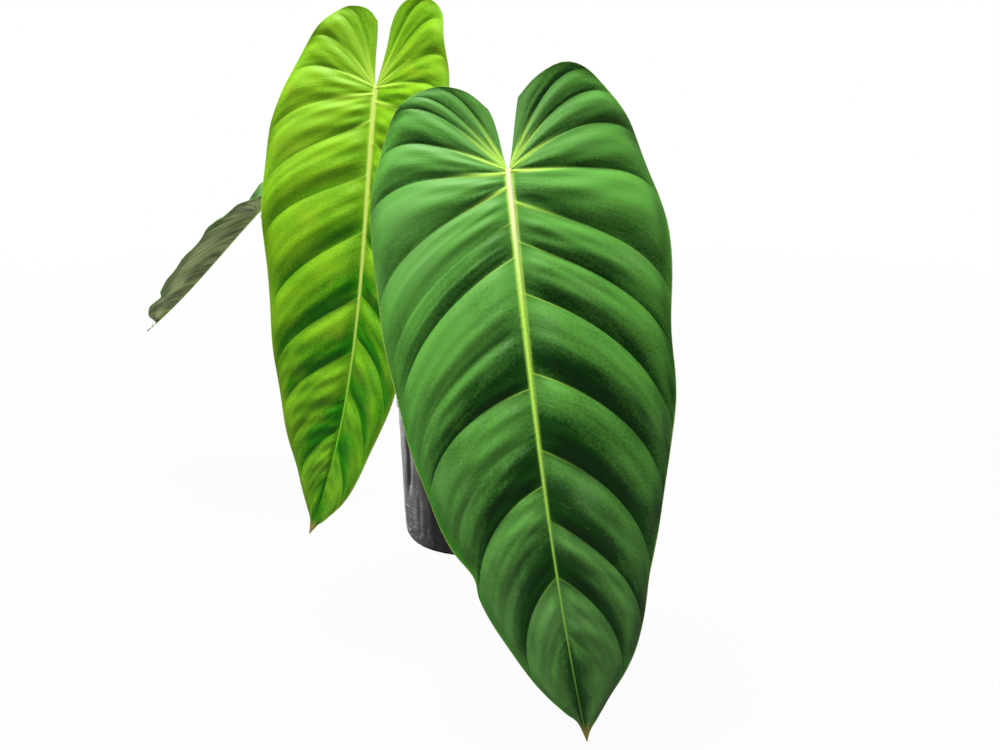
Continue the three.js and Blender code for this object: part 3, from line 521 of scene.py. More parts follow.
class VeinFamily:
    """One half of a blade as a family of vein lines.

    Line x runs at t from 0, on the midrib, to 1, on the margin. Whole numbers of x are the veins, 0 is the
    edge of the sinus and the last one is the tip.
    """

    def __init__(self, half, length):
        self.margin = np.array(half["margin"])
        self.sinus = np.array([(0, 0), *half["sinus"]])
        veins = half["veins"]
        first = (0, veins[0][1] + SINUS_OPENING, 0, 0)
        last = (length, TIP_ANGLE, len(self.margin) - 1, 0)
        self.root, angle, self.station, self.strength = np.array([first, *veins, last]).T
        self.angle = np.radians(angle)
        self.lobe_panels = sum(vein[0] == 0 for vein in veins)
        self.panels = len(veins) + 1
        self.index = np.arange(self.panels + 1)
        weak = (self.strength > 0) & (self.strength < WEAK_VEIN)
        steps = np.where(weak[:-1] | weak[1:], 0.5, 1.0)
        self.phase = np.concatenate([[0], np.cumsum(steps)])

    def at_line(self, values, x):
        """A value that each vein has, at x."""
        return np.interp(x, self.index, values)

    def margin_point(self, station):
        """The uniform spline through the margin points, counted in points."""
        last = len(self.margin) - 1
        station = np.clip(station, 0, last)
        i = np.minimum(station.astype(int), last - 1)
        before, here = self.margin[np.maximum(i - 1, 0)], self.margin[i]
        there, after = self.margin[i + 1], self.margin[np.minimum(i + 2, last)]
        return between(here, there, (there - before) / 2, (after - here) / 2, (station - i)[..., None])

    def start(self, x):
        root = self.at_line(self.root, x)
        return np.stack([np.zeros_like(root), root], axis=-1)

    def reach(self, x):
        end = self.margin_point(self.at_line(self.station, x))
        return np.linalg.norm(end - self.start(x), axis=-1)

    def point(self, x, t):
        """Distance from the midrib and distance below the sinus at x and t."""
        station, angle = self.at_line(self.station, x), self.at_line(self.angle, x)
        start, end = self.start(x), self.margin_point(station)
        reach = np.linalg.norm(end - start, axis=-1)[..., None]
        out = start + VEIN_LEAVE * reach * np.stack([np.sin(angle), np.cos(angle)], axis=-1)
        step = 0.02
        along = unit(self.margin_point(station + step) - self.margin_point(station - step))
        arrive = unit(0.5 * unit(end - out) + VEIN_TURN * along)
        inward = end - VEIN_ARRIVE * reach * arrive
        straight = np.clip(x - self.panels + 1, 0, 1)[..., None]
        out = mix(out, mix(start, end, 1 / 3), straight)
        inward = mix(inward, mix(start, end, 2 / 3), straight)
        edge = np.clip(1 - x, 0, 1)[..., None]
        controls = [mix(control, place, edge) for control, place in zip((start, out, inward), self.sinus)]
        return cubic([*controls, end], t[..., None])

    def width(self, x, t):
        """Distance across the panel at x and t, square to the vein."""
        step = 0.05
        across = self.point(np.minimum(x + step, self.panels), t) - self.point(np.maximum(x - step, 0), t)
        along = unit(self.point(x, np.minimum(t + step, 1)) - self.point(x, np.maximum(t - step, 0)))
        return np.abs(across[..., 0] * along[..., 1] - across[..., 1] * along[..., 0]) / (2 * step)

    def relief(self, x, t, sizes, quilting):
        """Height of the quilted surface over the blade's even form."""
        panel = np.minimum(x.astype(int), self.panels - 1)
        f = x - panel
        width = self.width(np.clip(x, 0.3, self.panels - 0.3), t)
        low, high = 1 - self.strength[panel], 1 - self.strength[panel + 1]
        pillow = 4 * f * (1 - f) * (1 - 0.5 * np.maximum(low, high))
        shallow = 0.8 * mix(low, high, smoothstep(f, 0, 1))
        edges = np.where(panel == 0, f, 1) * np.where(panel == self.panels - 1, 1 - f, 1)
        fade = smoothstep(t, 0, QUILT_FULL) * (1 - QUILT_LOSS * smoothstep(t, QUILT_FADE, 1))
        broad = np.minimum(1, width / BROAD_PANEL)
        ripple = sizes.ripple * t**4 * np.sin(math.pi * x) * edges * broad
        waves = np.sin(13 * x + 6 * t + 2 * np.sin(4 * t + x)) + 0.6 * np.sin(22 * x - 5 * t + np.sin(5 * x))
        swell = sizes.swell * waves * broad * (1 - 0.6 * t)
        quilt = quilting * sizes.quilt
        return (quilt * width * (pillow + shallow) + swell) * fade * edges + ripple

    def vein_distance(self, x, t):
        """Distance to the nearest vein. The sinus edge and the tip line are no veins."""
        panel = np.minimum(x.astype(int), self.panels - 1)
        f = x - panel
        low = np.where(panel == 0, 1, f)
        high = np.where(panel == self.panels - 1, 1, 1 - f)
        faint = self.at_line(np.where(self.strength > 0, 1 - self.strength, 0), x)
        return np.minimum(low, high) * self.width(x, t) + 0.001 * faint

    def column_at(self, place):
        return np.interp(place, self.root[self.lobe_panels :], self.index[self.lobe_panels :])


class BentBlade:
    """The bent form of a blade."""

    def __init__(self, leaf):
        self.leaf = leaf
        self.controls = np.array(leaf["midrib"])
        self.shares = np.linspace(0, 1, 401)
        self.travelled = travelled(cubic(self.controls, self.shares[:, None]))
        self.length = self.travelled[-1]

    def at(self, u, v, lift):
        """The place of a point u across, v down and lift out of the face."""
        face = np.array(self.leaf["face"], dtype=float)
        bend = self.leaf["lobe_bend"]
        share = np.clip(v / self.length, 0, 1)
        t = np.interp(share * self.length, self.travelled, self.shares)[..., None]
        centre = cubic(self.controls, t)
        down = unit(cubic_slope(self.controls, t))
        normal = np.cross(down, unit(np.cross(face, down)))
        turn = (bend * np.maximum(-v, 0))[..., None]
        centre = centre - down * np.sin(turn) / bend - normal * (1 - np.cos(turn)) / bend
        down = down * np.cos(turn) + normal * np.sin(turn)
        side = unit(np.cross(face, down))
        normal = np.cross(down, side)
        fold = np.radians(mix(*self.leaf["fold"], share))
        curl = self.leaf["curl"]
        distance = np.abs(u)
        turned = fold + curl * distance
        if curl:
            across = (np.sin(turned) - np.sin(fold)) / curl
            out = (np.cos(fold) - np.cos(turned)) / curl
        else:
            across = distance * np.cos(fold)
            out = distance * np.sin(fold)
        across = np.sign(u) * (across - lift * np.sin(turned))
        out = out + lift * np.cos(turned)
        return centre + side * across[..., None] + normal * out[..., None]


def midrib_places(right, left, length):
    """The places on the midrib that both halves share, with one at each vein's root."""
    roots = sorted({float(place) for place in (*right.root, *left.root) if 0 < place < length})
    places = []
    previous = 0.0
    for mark in [*roots, length]:
        gap = mark - previous
        if gap < VEIN_FLANK:
            continue
        flank = min(VEIN_FLANK, 0.03 * gap)
        crossed = max(half.column_at(mark) - half.column_at(previous) for half in (right, left))
        steps = max(round(gap / COLUMN_SPACING), math.ceil(COLUMNS_PER_PANEL * crossed))
        inner = gap - 2 * flank
        places += [previous + flank + inner * i / steps for i in range(steps + 1)]
        places.append(mark)
        previous = mark
    return np.array(places)


class BladeGrid:
    """Every value of a fine blade on one grid: rows from the left margin to the right one."""

    def __init__(self, leaf, sizes):
        self.form, self.sizes = BentBlade(leaf), sizes
        self.scale, self.quilting = leaf["scale"], leaf["quilting"]
        length = self.form.length
        right, left = VeinFamily(leaf["right"], length), VeinFamily(leaf["left"], length)
        lobe = [panel + share for panel in range(right.lobe_panels) for share in PANEL_SHARES]
        lobe.append(right.lobe_panels)
        places = midrib_places(right, left, length)
        down = np.concatenate([np.zeros(len(lobe)), places])
        self.rib = self.scale * mix(sizes.rib_width, sizes.rib_tip, (down / length) ** 0.9)
        self.keel = self.scale * mix(sizes.keel, sizes.keel_tip, (down / length) ** 0.7)
        sides = []
        for family, hand in ((left, -1), (right, 1)):
            sides.append(self.half(family, hand, np.concatenate([lobe, family.column_at(places)])))
        self.middle = len(sides[0]["t"]) - 1
        self.rows, self.columns = 2 * self.middle + 1, len(down)
        self.values = {name: (sides[0][name][::-1], sides[1][name]) for name in sides[0]}

    def half(self, family, hand, x):
        """One half's values, with row 0 on the midrib."""
        sizes, rib = self.sizes, self.rib
        reach = np.maximum(family.reach(x), 1e-4)
        slant = np.maximum(np.sin(family.at_line(family.angle, x)), LEAST_SLANT)
        pace = 3 * VEIN_LEAVE * reach * slant
        near = [np.minimum(share * rib / pace, RIB_ROW_STEP * (k + 1)) for k, share in enumerate(RIB_ROWS)]
        outer = [mix(near[-1], 1, (j + 1) / OUTER_ROWS) for j in range(OUTER_ROWS - 1)]
        roll = np.maximum(1 - MARGIN_ROLL / reach, (1 + outer[-1]) / 2)
        t = np.stack([np.zeros_like(x), *near, *outer, roll, np.ones_like(x)])
        x = np.broadcast_to(x, t.shape)
        flat = family.point(x, t)
        across, down = flat[..., 0], flat[..., 1]
        from_rib = np.where(down < 0, np.hypot(across, down), across)
        vein = family.vein_distance(x, t)
        rise = mix(sizes.rib_height, sizes.rib_low, np.clip(down / self.form.length, 0, 1))
        crown = rise * np.clip(1 - (from_rib / rib) ** 2, 0, 1) ** 1.5
        thread = THREAD_RISE * np.exp(-from_rib / THREAD_RUN) * bell(vein, THREAD_WIDTH)
        raised = crown + thread * smoothstep(t, 0, 0.03)
        under = np.sqrt(np.clip(1 - (from_rib / (KEEL_WIDTH * rib)) ** 2, 0, 1))
        film = mix(sizes.thickness, sizes.margin, smoothstep(t, 0.85, 1))
        strength = family.at_line(np.maximum(family.strength, 0.2), x)
        ridge = sizes.vein_depth * bell(vein, UNDER_VEIN_WIDTH) * strength * (1 - smoothstep(t, 0.5, 1))
        return {
            "t": t,
            "across": hand * across,
            "down": down,
            "lift": family.relief(x, t, sizes, self.quilting) + self.scale * raised,
            "depth": film + self.scale * (ridge * smoothstep(t, 0, 0.02) + self.keel * under),
            "vein": vein,
            "phase": family.at_line(family.phase, x) + (0 if hand > 0 else 40),
            "rib": from_rib / rib,
        }

    def whole(self, name):
        """One value on the whole grid."""
        low, high = self.values[name]
        return np.concatenate([low, high[1:]])


def plain_object(bm, name, materials=()):
    """Makes the object of a bmesh, at the origin, and frees the bmesh."""
    mesh = bpy.data.meshes.new(name)
    bm.to_mesh(mesh)
    bm.free()
    for material in materials:
        mesh.materials.append(material)
    made = bpy.data.objects.new(name, mesh)
    bpy.context.scene.collection.objects.link(made)
    return made


def finish_mesh(bm, name, materials, slot, smooth=True):
    """Turns the faces of a bmesh outwards and makes a piece of the plant of it."""
    bmesh.ops.recalc_face_normals(bm, faces=bm.faces)
    made = plain_object(bm, name, materials)
    made.data.polygons.foreach_set("use_smooth", [smooth] * len(made.data.polygons))
    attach(made, "root")
    return made


def make_blade(name, leaf, sizes, materials):
    """A fine blade: a grid laid on the vein lines, quilted, bent and given its thickness and its midrib."""
    grid = BladeGrid(leaf, sizes)
    across, down, lift = grid.whole("across"), grid.whole("down"), grid.whole("lift")
    front = grid.form.at(across, down, lift)
    behind = grid.form.at(across, down, lift - grid.whole("depth"))
    bm = bmesh.new()
    bmesh.ops.create_grid(bm, x_segments=grid.columns - 1, y_segments=grid.rows - 1, size=1)
    row_mark = bm.verts.layers.int.new("row")
    column_mark = bm.verts.layers.int.new("column")
    for vert in bm.verts:
        row = round((vert.co.y + 1) / 2 * (grid.rows - 1))
        column = round((vert.co.x + 1) / 2 * (grid.columns - 1))
        vert[row_mark], vert[column_mark] = row, column
        vert.co = front[row, column]
    maps = {"flat": ("across", "down"), "vein": ("vein", "t"), "panel": ("phase", "rib")}
    for label, pair in maps.items():
        layer = bm.loops.layers.uv.new(label)
        halves = [[grid.values[value][side].tolist() for value in pair] for side in (0, 1)]
        for face in bm.faces:
            side = int(max(loop.vert[row_mark] for loop in face.loops) > grid.middle)
            first, second = halves[side]
            for loop in face.loops:
                row = loop.vert[row_mark] - side * grid.middle
                column = loop.vert[column_mark]
                loop[layer].uv = (first[row][column], second[row][column])
    bmesh.ops.remove_doubles(bm, verts=bm.verts, dist=1e-6)
    walls = bmesh.ops.extrude_face_region(bm, geom=bm.faces[:], use_keep_orig=True)
    for part in walls["geom"]:
        if isinstance(part, bmesh.types.BMVert):
            part.co = behind[part[row_mark], part[column_mark]]
        elif isinstance(part, bmesh.types.BMFace):
            part.material_index = 1
    return finish_mesh(bm, name, materials, leaf["slot"])


def centripetal_path(points, samples):
    """Evenly spaced places on a smooth curve through the points."""
    points = [np.array(point, dtype=float) for point in points]
    ends = [2 * points[0] - points[1], *points, 2 * points[-1] - points[-2]]
    places = []
    for i in range(1, len(ends) - 2):
        quad = ends[i - 1 : i + 3]
        gaps = [np.linalg.norm(quad[k + 1] - quad[k]) ** 0.5 for k in range(3)]
        rates = [(quad[k + 1] - quad[k]) / gaps[k] for k in range(3)]
        wide = [(quad[k + 2] - quad[k]) / (gaps[k] + gaps[k + 1]) for k in range(2)]
        leave = (rates[0] - wide[0] + rates[1]) * gaps[1]
        arrive = (rates[1] - wide[1] + rates[2]) * gaps[1]
        shares = np.linspace(0, 1, 60, endpoint=False)[:, None]
        places += list(between(quad[1], quad[2], leave, arrive, shares))
    places = np.array([*places, points[-1]])
    distances = travelled(places)
    wanted = np.linspace(0, distances[-1], samples)
    return np.stack([np.interp(wanted, distances, places[:, k]) for k in range(3)], axis=1)


def carried_frames(path, up):
    """Two directions square to the path at each place, carried along without twist."""
    tangents = unit(np.gradient(path, axis=0))
    side = unit(np.cross(np.array(up, dtype=float), tangents[0]))
    frames = []
    for tangent in tangents:
        side = unit(side - tangent * np.dot(side, tangent))
        frames.append((side, np.cross(tangent, side)))
    return frames


def skin_grid(bm, columns, rows):
    """Adds a flat grid from -1 to 1 both ways. Its own map has its turn and its place along, from 0 to 1."""
    layer = bm.loops.layers.uv.get("skin") or bm.loops.layers.uv.new("skin")
    made = bmesh.ops.create_grid(bm, x_segments=columns, y_segments=rows, size=1)["verts"]
    for face in {face for vert in made for face in vert.link_faces}:
        for loop in face.loops:
            loop[layer].uv = ((loop.vert.co.x + 1) / 2, (loop.vert.co.y + 1) / 2)
    return made


def wrapped_grid(bm, columns, rows, place):
    """Adds a grid whose two sides meet, laid by place(turn, along). Open ends are closed with a face."""
    start = len(bm.verts)
    made = skin_grid(bm, columns, rows)
    for vert in made:
        vert.co = place((vert.co.x + 1) / 2, (vert.co.y + 1) / 2)
    bmesh.ops.remove_doubles(bm, verts=made, dist=1e-6)
    bm.verts.ensure_lookup_table()
    rim = {edge for vert in bm.verts[start:] for edge in vert.link_edges if edge.is_boundary}
    bmesh.ops.holes_fill(bm, edges=list(rim), sides=0)


def tube(bm, points, radius_at, sides, rows, up=(0, 0, 1)):
    """Adds a closed tube along a route. radius_at(turn, along) gives its radius."""
    path = centripetal_path(points, rows + 1)
    frames = carried_frames(path, up)

    def place(turn, along):
        k = round(along * rows)
        side, rise = frames[k]
        angle = 2 * math.pi * (turn % 1)
        radius = radius_at(turn % 1, along)
        return Vector(path[k] + radius * (side * math.cos(angle) + rise * math.sin(angle)))

    wrapped_grid(bm, sides, rows, place)


def make_petiole(name, leaf, sizes, materials):
    """A petiole: a round stalk, ridged and shallowly channelled, with a collar under the blade."""
    form = BentBlade(leaf)
    ends = [form.at(*(np.array(float(place)) for place in (0, *seat))) for seat in leaf["approach"]]
    route = [leaf["start"], *leaf["route"], *ends]
    widths = (sizes.base, sizes.base * PETIOLE_TAPER, sizes.middle, sizes.top)

    def radius_at(turn, along):
        angle = 2 * math.pi * turn
        radius = np.interp(along, PETIOLE_STEPS, widths)
        ridges = BROAD_RIDGE * math.cos(14 * angle) + FINE_RIDGE * math.sin(9 * angle + 6 * along)
        channel, collar, dent = (
            depth * radius * bell(place - middle, width)
            for place, (depth, middle, width) in ((turn, CHANNEL), (along, COLLAR), (along, DENT))
        )
        return radius + ridges + channel * smoothstep(along, 0.1, 0.3) + collar + dent

    bm = bmesh.new()
    tube(bm, route, radius_at, sides=28, rows=150)
    return finish_mesh(bm, name, materials, "petiole_skin")


def make_rolled_leaf(sizes, materials):
    """The new leaf, rolled round itself, with the free edge winding up it."""

    def radius_at(turn, along):
        wound = (turn + along * SPEAR_WINDING + 2) % 1
        lap = SPEAR_LAP * smoothstep(wound, 0.0, 0.06) * (1 - 0.55 * wound)
        body = math.sin(math.pi * (0.28 + 0.7 * along)) ** 0.7
        veins = 0.012 * math.sin(2 * math.pi * (6 * wound + 9 * along))
        return sizes.spear * body * (1 + lap + veins * (1 - along)) * SPEAR_SHARE

    bm = bmesh.new()
    tube(bm, SPEAR_ROUTE, radius_at, sides=64, rows=120)
    return finish_mesh(bm, "rolled_leaf", materials, "new_growth")


def make_dry_sheath(sizes, materials):
    """The dry sheath: a thin ribbed sheet, open at the front, torn and curled at its top."""
    bm = bmesh.new()
    for vert in skin_grid(bm, columns=72, rows=90):
        turn, rise = vert.co.x, (vert.co.y + 1) / 2
        opening = SHEATH_HALF_ANGLE * (1 - SHEATH_CLOSING * rise**2)
        angle = math.radians(SHEATH_MIDDLE_ANGLE + opening * turn)
        ribs = SHEATH_RIBS[0] * math.sin(46 * turn) + SHEATH_RIBS[1] * math.sin(83 * turn + 3 * rise)
        curl = SHEATH_CURL * smoothstep(abs(turn), 0.7, 1) * rise
        radius = mix(sizes.sheath, sizes.sheath_top, rise**0.6) + ribs + curl + SHEATH_GAP
        broad, narrow = noise.noise(Vector((turn * 5, 0, 3))), noise.noise(Vector((turn * 19, 1, 3)))
        torn = SHEATH_TEARS[0] * broad + SHEATH_TEARS[1] * narrow - SHEATH_TEARS[2]
        lean = SHEATH_LEAN * rise**2
        height = mix(SHEATH_FOOT, SHEATH_TOP, rise) + torn * rise**2
        vert.co = (radius * math.cos(angle) + lean, radius * math.sin(angle) + lean, height)
    bmesh.ops.solidify(bm, geom=bm.faces[:], thickness=sizes.paper)
    return finish_mesh(bm, "papery_sheath", materials, "dry_sheath")


def stem_radius(height):
    """The stem's radius above the mix."""
    return mix(STEM_BASE, STEM_TIP, (height - STEM_COLLAR) / (STEM_TOP - STEM_COLLAR))


def make_stem(materials):
    """The stem: a turned body with a raised leaf scar round each ring, roughened by noise."""
    profile = [(0.0, STEM_FOOT), (STEM_BURIED * 0.7, STEM_FOOT), (STEM_BURIED, STEM_FOOT + 0.006)]
    profile.append((STEM_BURIED, STEM_COLLAR))
    for ring in range(STEM_RINGS):
        low = STEM_COLLAR + ring * RING_STEP
        for share, swell, shift in RING_OUTLINE:
            height = low + share * RING_STEP
            profile.append((stem_radius(height) + swell, height + shift))
    profile += [(STEM_TIP - 0.001, STEM_TOP - 0.002), (STEM_TIP * 0.6, STEM_TOP), (0.0, STEM_TOP + 0.0004)]
    bm = bmesh.new()
    turned_body(bm, profile, steps=72, spacing=0.0012)
    for vert in bm.verts:
        outward = Vector((vert.co.x, vert.co.y, 0))
        if vert.co.z >= STEM_ROUGH_FOOT and outward.length > 0.002:
            coarse, fine = noise.noise(vert.co * 300), noise.noise(vert.co * 900)
            vert.co += outward.normalized() * (coarse * STEM_ROUGHNESS[0] + fine * STEM_ROUGHNESS[1])
    return finish_mesh(bm, "stem_body", materials, "stem_skin")


def turned_body(bm, profile, steps, spacing):
    """Adds a closed body turned round Z from (radius, height) places, with its profile cut finely."""
    fine = []
    for (r0, z0), (r1, z1) in zip(profile, profile[1:]):
        parts = max(1, round(math.hypot(r1 - r0, z1 - z0) / spacing))
        fine += [(mix(r0, r1, i / parts), mix(z0, z1, i / parts)) for i in range(parts)]
    fine.append(profile[-1])
    verts = [bm.verts.new((radius, 0, height)) for radius, height in fine]
    edges = [bm.edges.new(pair) for pair in zip(verts, verts[1:])]
    bmesh.ops.spin(
        bm, geom=verts + edges, axis=(0, 0, 1), cent=(0, 0, 0), steps=steps, angle=2 * math.pi, use_merge=True
    )
    bmesh.ops.remove_doubles(bm, verts=bm.verts, dist=1e-6)


def make_roots(sizes, materials):
    """The roots that leave the stem above the mix and go down into it."""
    bm = bmesh.new()
    for k, degrees in enumerate(ROOT_ANGLES):
        angle = math.radians(degrees)
        across, aside = math.cos(angle), math.sin(angle)
        points = [(radius * across, radius * aside, height) for radius, height in ROOT_ROUTE]

        def radius_at(turn, along):
            knots = 1 + 0.07 * math.sin(31 * along + k) + 0.05 * math.sin(2 * math.pi * 3 * turn + 20 * along)
            return mix(sizes.root, ROOT_TIP, along) * knots * ROOT_SHARE

        tube(bm, points, radius_at, sides=20, rows=60, up=(aside, -across, 0))
    return finish_mesh(bm, "stem_roots", materials, "stem_skin")


def bag_crease(angle, height, depth):
    """Soft upright creases in the bag, which die out at the foot."""
    folds = 0.6 * math.cos(7 * angle + 1.1) + 0.4 * math.cos(11 * angle + height / 0.045)
    return depth * folds * float(smoothstep(height, 0, CREASE_FOOT))


def film_fold(angle, height):
    """How far the sharper folds draw the film in."""
    degrees = math.degrees(angle) % 360
    drawn = 0.0
    for middle, width, depth, low, high in FILM_FOLDS:
        wander = FOLD_WANDER * math.sin(height / 0.03 + middle)
        away = (degrees - middle - wander + 180) % 360 - 180
        if abs(away) < 4 * width:
            rise = smoothstep(height, low, low + FOLD_END) * (1 - smoothstep(height, high - FOLD_END, high))
            drawn += depth * bell(away, width) * rise
    return float(drawn)


def pushed_out(vert, distance):
    """Moves a vertex away from the axis."""
    angle = math.atan2(vert.co.y, vert.co.x)
    vert.co.x += distance * math.cos(angle)
    vert.co.y += distance * math.sin(angle)


def make_bag(sizes, materials):
    """The bag: a turned film with a folded hem and a floor, creased and wrinkled."""
    last = BAG_OUTER[-1][0]
    hem, lining = last + sizes.hem, last - sizes.wall
    outside = [*BAG_OUTER, (hem, HEM_LOW), (hem + 0.0005, RIM_HEIGHT - RIM_ROLL), (hem - 0.0003, RIM_HEIGHT)]
    outside += [(lining + 0.0009, RIM_HEIGHT), (lining + 0.0003, RIM_HEIGHT - RIM_ROLL)]
    inside = [(radius - sizes.wall, max(height, FLOOR_EDGE)) for radius, height in BAG_OUTER[:0:-1]]
    profile = [(0.0, 0.0), *outside, *inside, (BAG_OUTER[0][0] - sizes.wall, FLOOR_TOP), (0.0, FLOOR_TOP)]
    bm = bmesh.new()
    turned_body(bm, profile, steps=300, spacing=0.0016)
    fold = bm.verts.layers.float.new("fold")
    for vert in bm.verts:
        radius = math.hypot(vert.co.x, vert.co.y)
        if radius < STIFF_RADIUS:
            continue
        angle, height = math.atan2(vert.co.y, vert.co.x), vert.co.z
        share = float(smoothstep(radius, STIFF_RADIUS, SOFT_RADIUS))
        vert[fold] = film_fold(angle, height) * share
        low = smoothstep(height, *WRINKLES_START) * (1 - smoothstep(height, *WRINKLES_END))
        wrinkles = noise.noise(Vector((angle * 6, height * 420, 2)))
        wrinkles += 0.6 * noise.noise(Vector((angle * 17, height * 260, 7)))
        dents = noise.noise(Vector((angle * 9, height * 60, 5)))
        moved = bag_crease(angle, height, sizes.crease) * share - vert[fold]
        pushed_out(vert, moved + sizes.wrinkle * wrinkles * float(low) + sizes.dent * dents * share)
    return finish_mesh(bm, "nursery_bag", materials, "bag_plastic")


def punch_drains(bag):
    """Cuts the drain holes through the bag's floor."""
    bm = bmesh.new()
    for hole in range(DRAIN_COUNT):
        angle = (hole + 0.5) / DRAIN_COUNT * 2 * math.pi
        place = Matrix.Translation((DRAIN_CIRCLE * math.cos(angle), DRAIN_CIRCLE * math.sin(angle), 0))
        sizes = {"radius1": DRAIN_RADIUS, "radius2": DRAIN_RADIUS, "depth": DRAIN_DEPTH}
        bmesh.ops.create_cone(bm, cap_ends=True, segments=32, matrix=place, **sizes)
    punch = plain_object(bm, "punch")
    cut = bag.modifiers.new("drains", "BOOLEAN")
    cut.object, cut.operation, cut.solver = punch, "DIFFERENCE", "EXACT"
    with bpy.context.temp_override(object=bag, active_object=bag):
        bpy.ops.object.modifier_apply(modifier=cut.name)
    bpy.data.objects.remove(punch)


def mix_height(x, y, lump):
    """Height of the potting mix's surface."""
    radius = math.hypot(x, y)
    base = mix(MIX_CROWN, MIX_EDGE, min(1.0, radius / MIX_RADIUS))
    place = Vector((x, y, 0))
    rough = noise.noise(place * 90) + 0.6 * noise.noise(place * 230) + 0.35 * noise.noise(place * 600)
    return base + lump * rough * (1 - float(smoothstep(radius, LUMPY_RADIUS, LEVEL_RADIUS)))


def make_mix(sizes, materials):
    """The potting mix: a turned body in the bag with a rough crown round the stem."""
    inset = sizes.wall + MIX_GAP
    side = [(radius - inset, max(height, FLOOR_EDGE) + MIX_GAP) for radius, height in BAG_OUTER[1:-1]]
    profile = [(0.0, MIX_FLOOR), (BAG_OUTER[0][0] - sizes.wall - 0.001, MIX_FLOOR), *side]
    profile += [(side[-1][0] + 0.0002, MIX_EDGE), (STEM_BURIED + 0.0006, MIX_EDGE + 0.003)]
    profile += [(STEM_BURIED + STEM_GAP, STEM_FOOT - MIX_GAP), (0.0, STEM_FOOT - MIX_GAP)]
    bm = bmesh.new()
    turned_body(bm, profile, steps=150, spacing=0.0014)
    for vert in bm.verts:
        if vert.co.z > MIX_EDGE - 0.0002:
            vert.co.z = mix_height(vert.co.x, vert.co.y, sizes.lump)
        if math.hypot(vert.co.x, vert.co.y) > CREASED_RADIUS and vert.co.z > CREASED_HEIGHT:
            angle = math.atan2(vert.co.y, vert.co.x)
            pushed_out(vert, bag_crease(angle, vert.co.z, sizes.crease) - film_fold(angle, vert.co.z))
    return finish_mesh(bm, "potting_mix", materials, "potting_mix")


def scattered_places(count, draw, low, high):
    """Places on the mix between two radii."""
    for _ in range(count):
        radius = math.sqrt(draw.uniform(low**2, high**2))
        angle = draw.uniform(0, 2 * math.pi)
        yield radius * math.cos(angle), radius * math.sin(angle)


def make_crumbs(name, count, seed, size, flatness, sizes, materials):
    """Loose grains or chips lying on the mix."""
    draw = random.Random(seed)
    bm = bmesh.new()
    for x, y in scattered_places(count, draw, LOOSE_INNER, LOOSE_OUTER):
        radius = draw.uniform(*size)
        turn = Matrix.Rotation(draw.uniform(0, 2 * math.pi), 4, "Z")
        turn = turn @ Matrix.Rotation(draw.uniform(-0.5, 0.5), 4, "X")
        long, wide, high = draw.uniform(0.8, 1.5), draw.uniform(0.6, 1.1), flatness * draw.uniform(0.7, 1.1)
        height = mix_height(x, y, sizes.lump) + radius * flatness * 0.25
        matrix = Matrix.Translation((x, y, height)) @ turn @ Matrix.Diagonal((long, wide, high, 1))
        grain = bmesh.ops.create_icosphere(bm, subdivisions=1, radius=radius, matrix=matrix)
        for vert in grain["verts"]:
            vert.co += Vector([draw.uniform(-0.22, 0.22) * radius for _ in range(3)])
    return finish_mesh(bm, name, materials, "potting_mix", smooth=False)


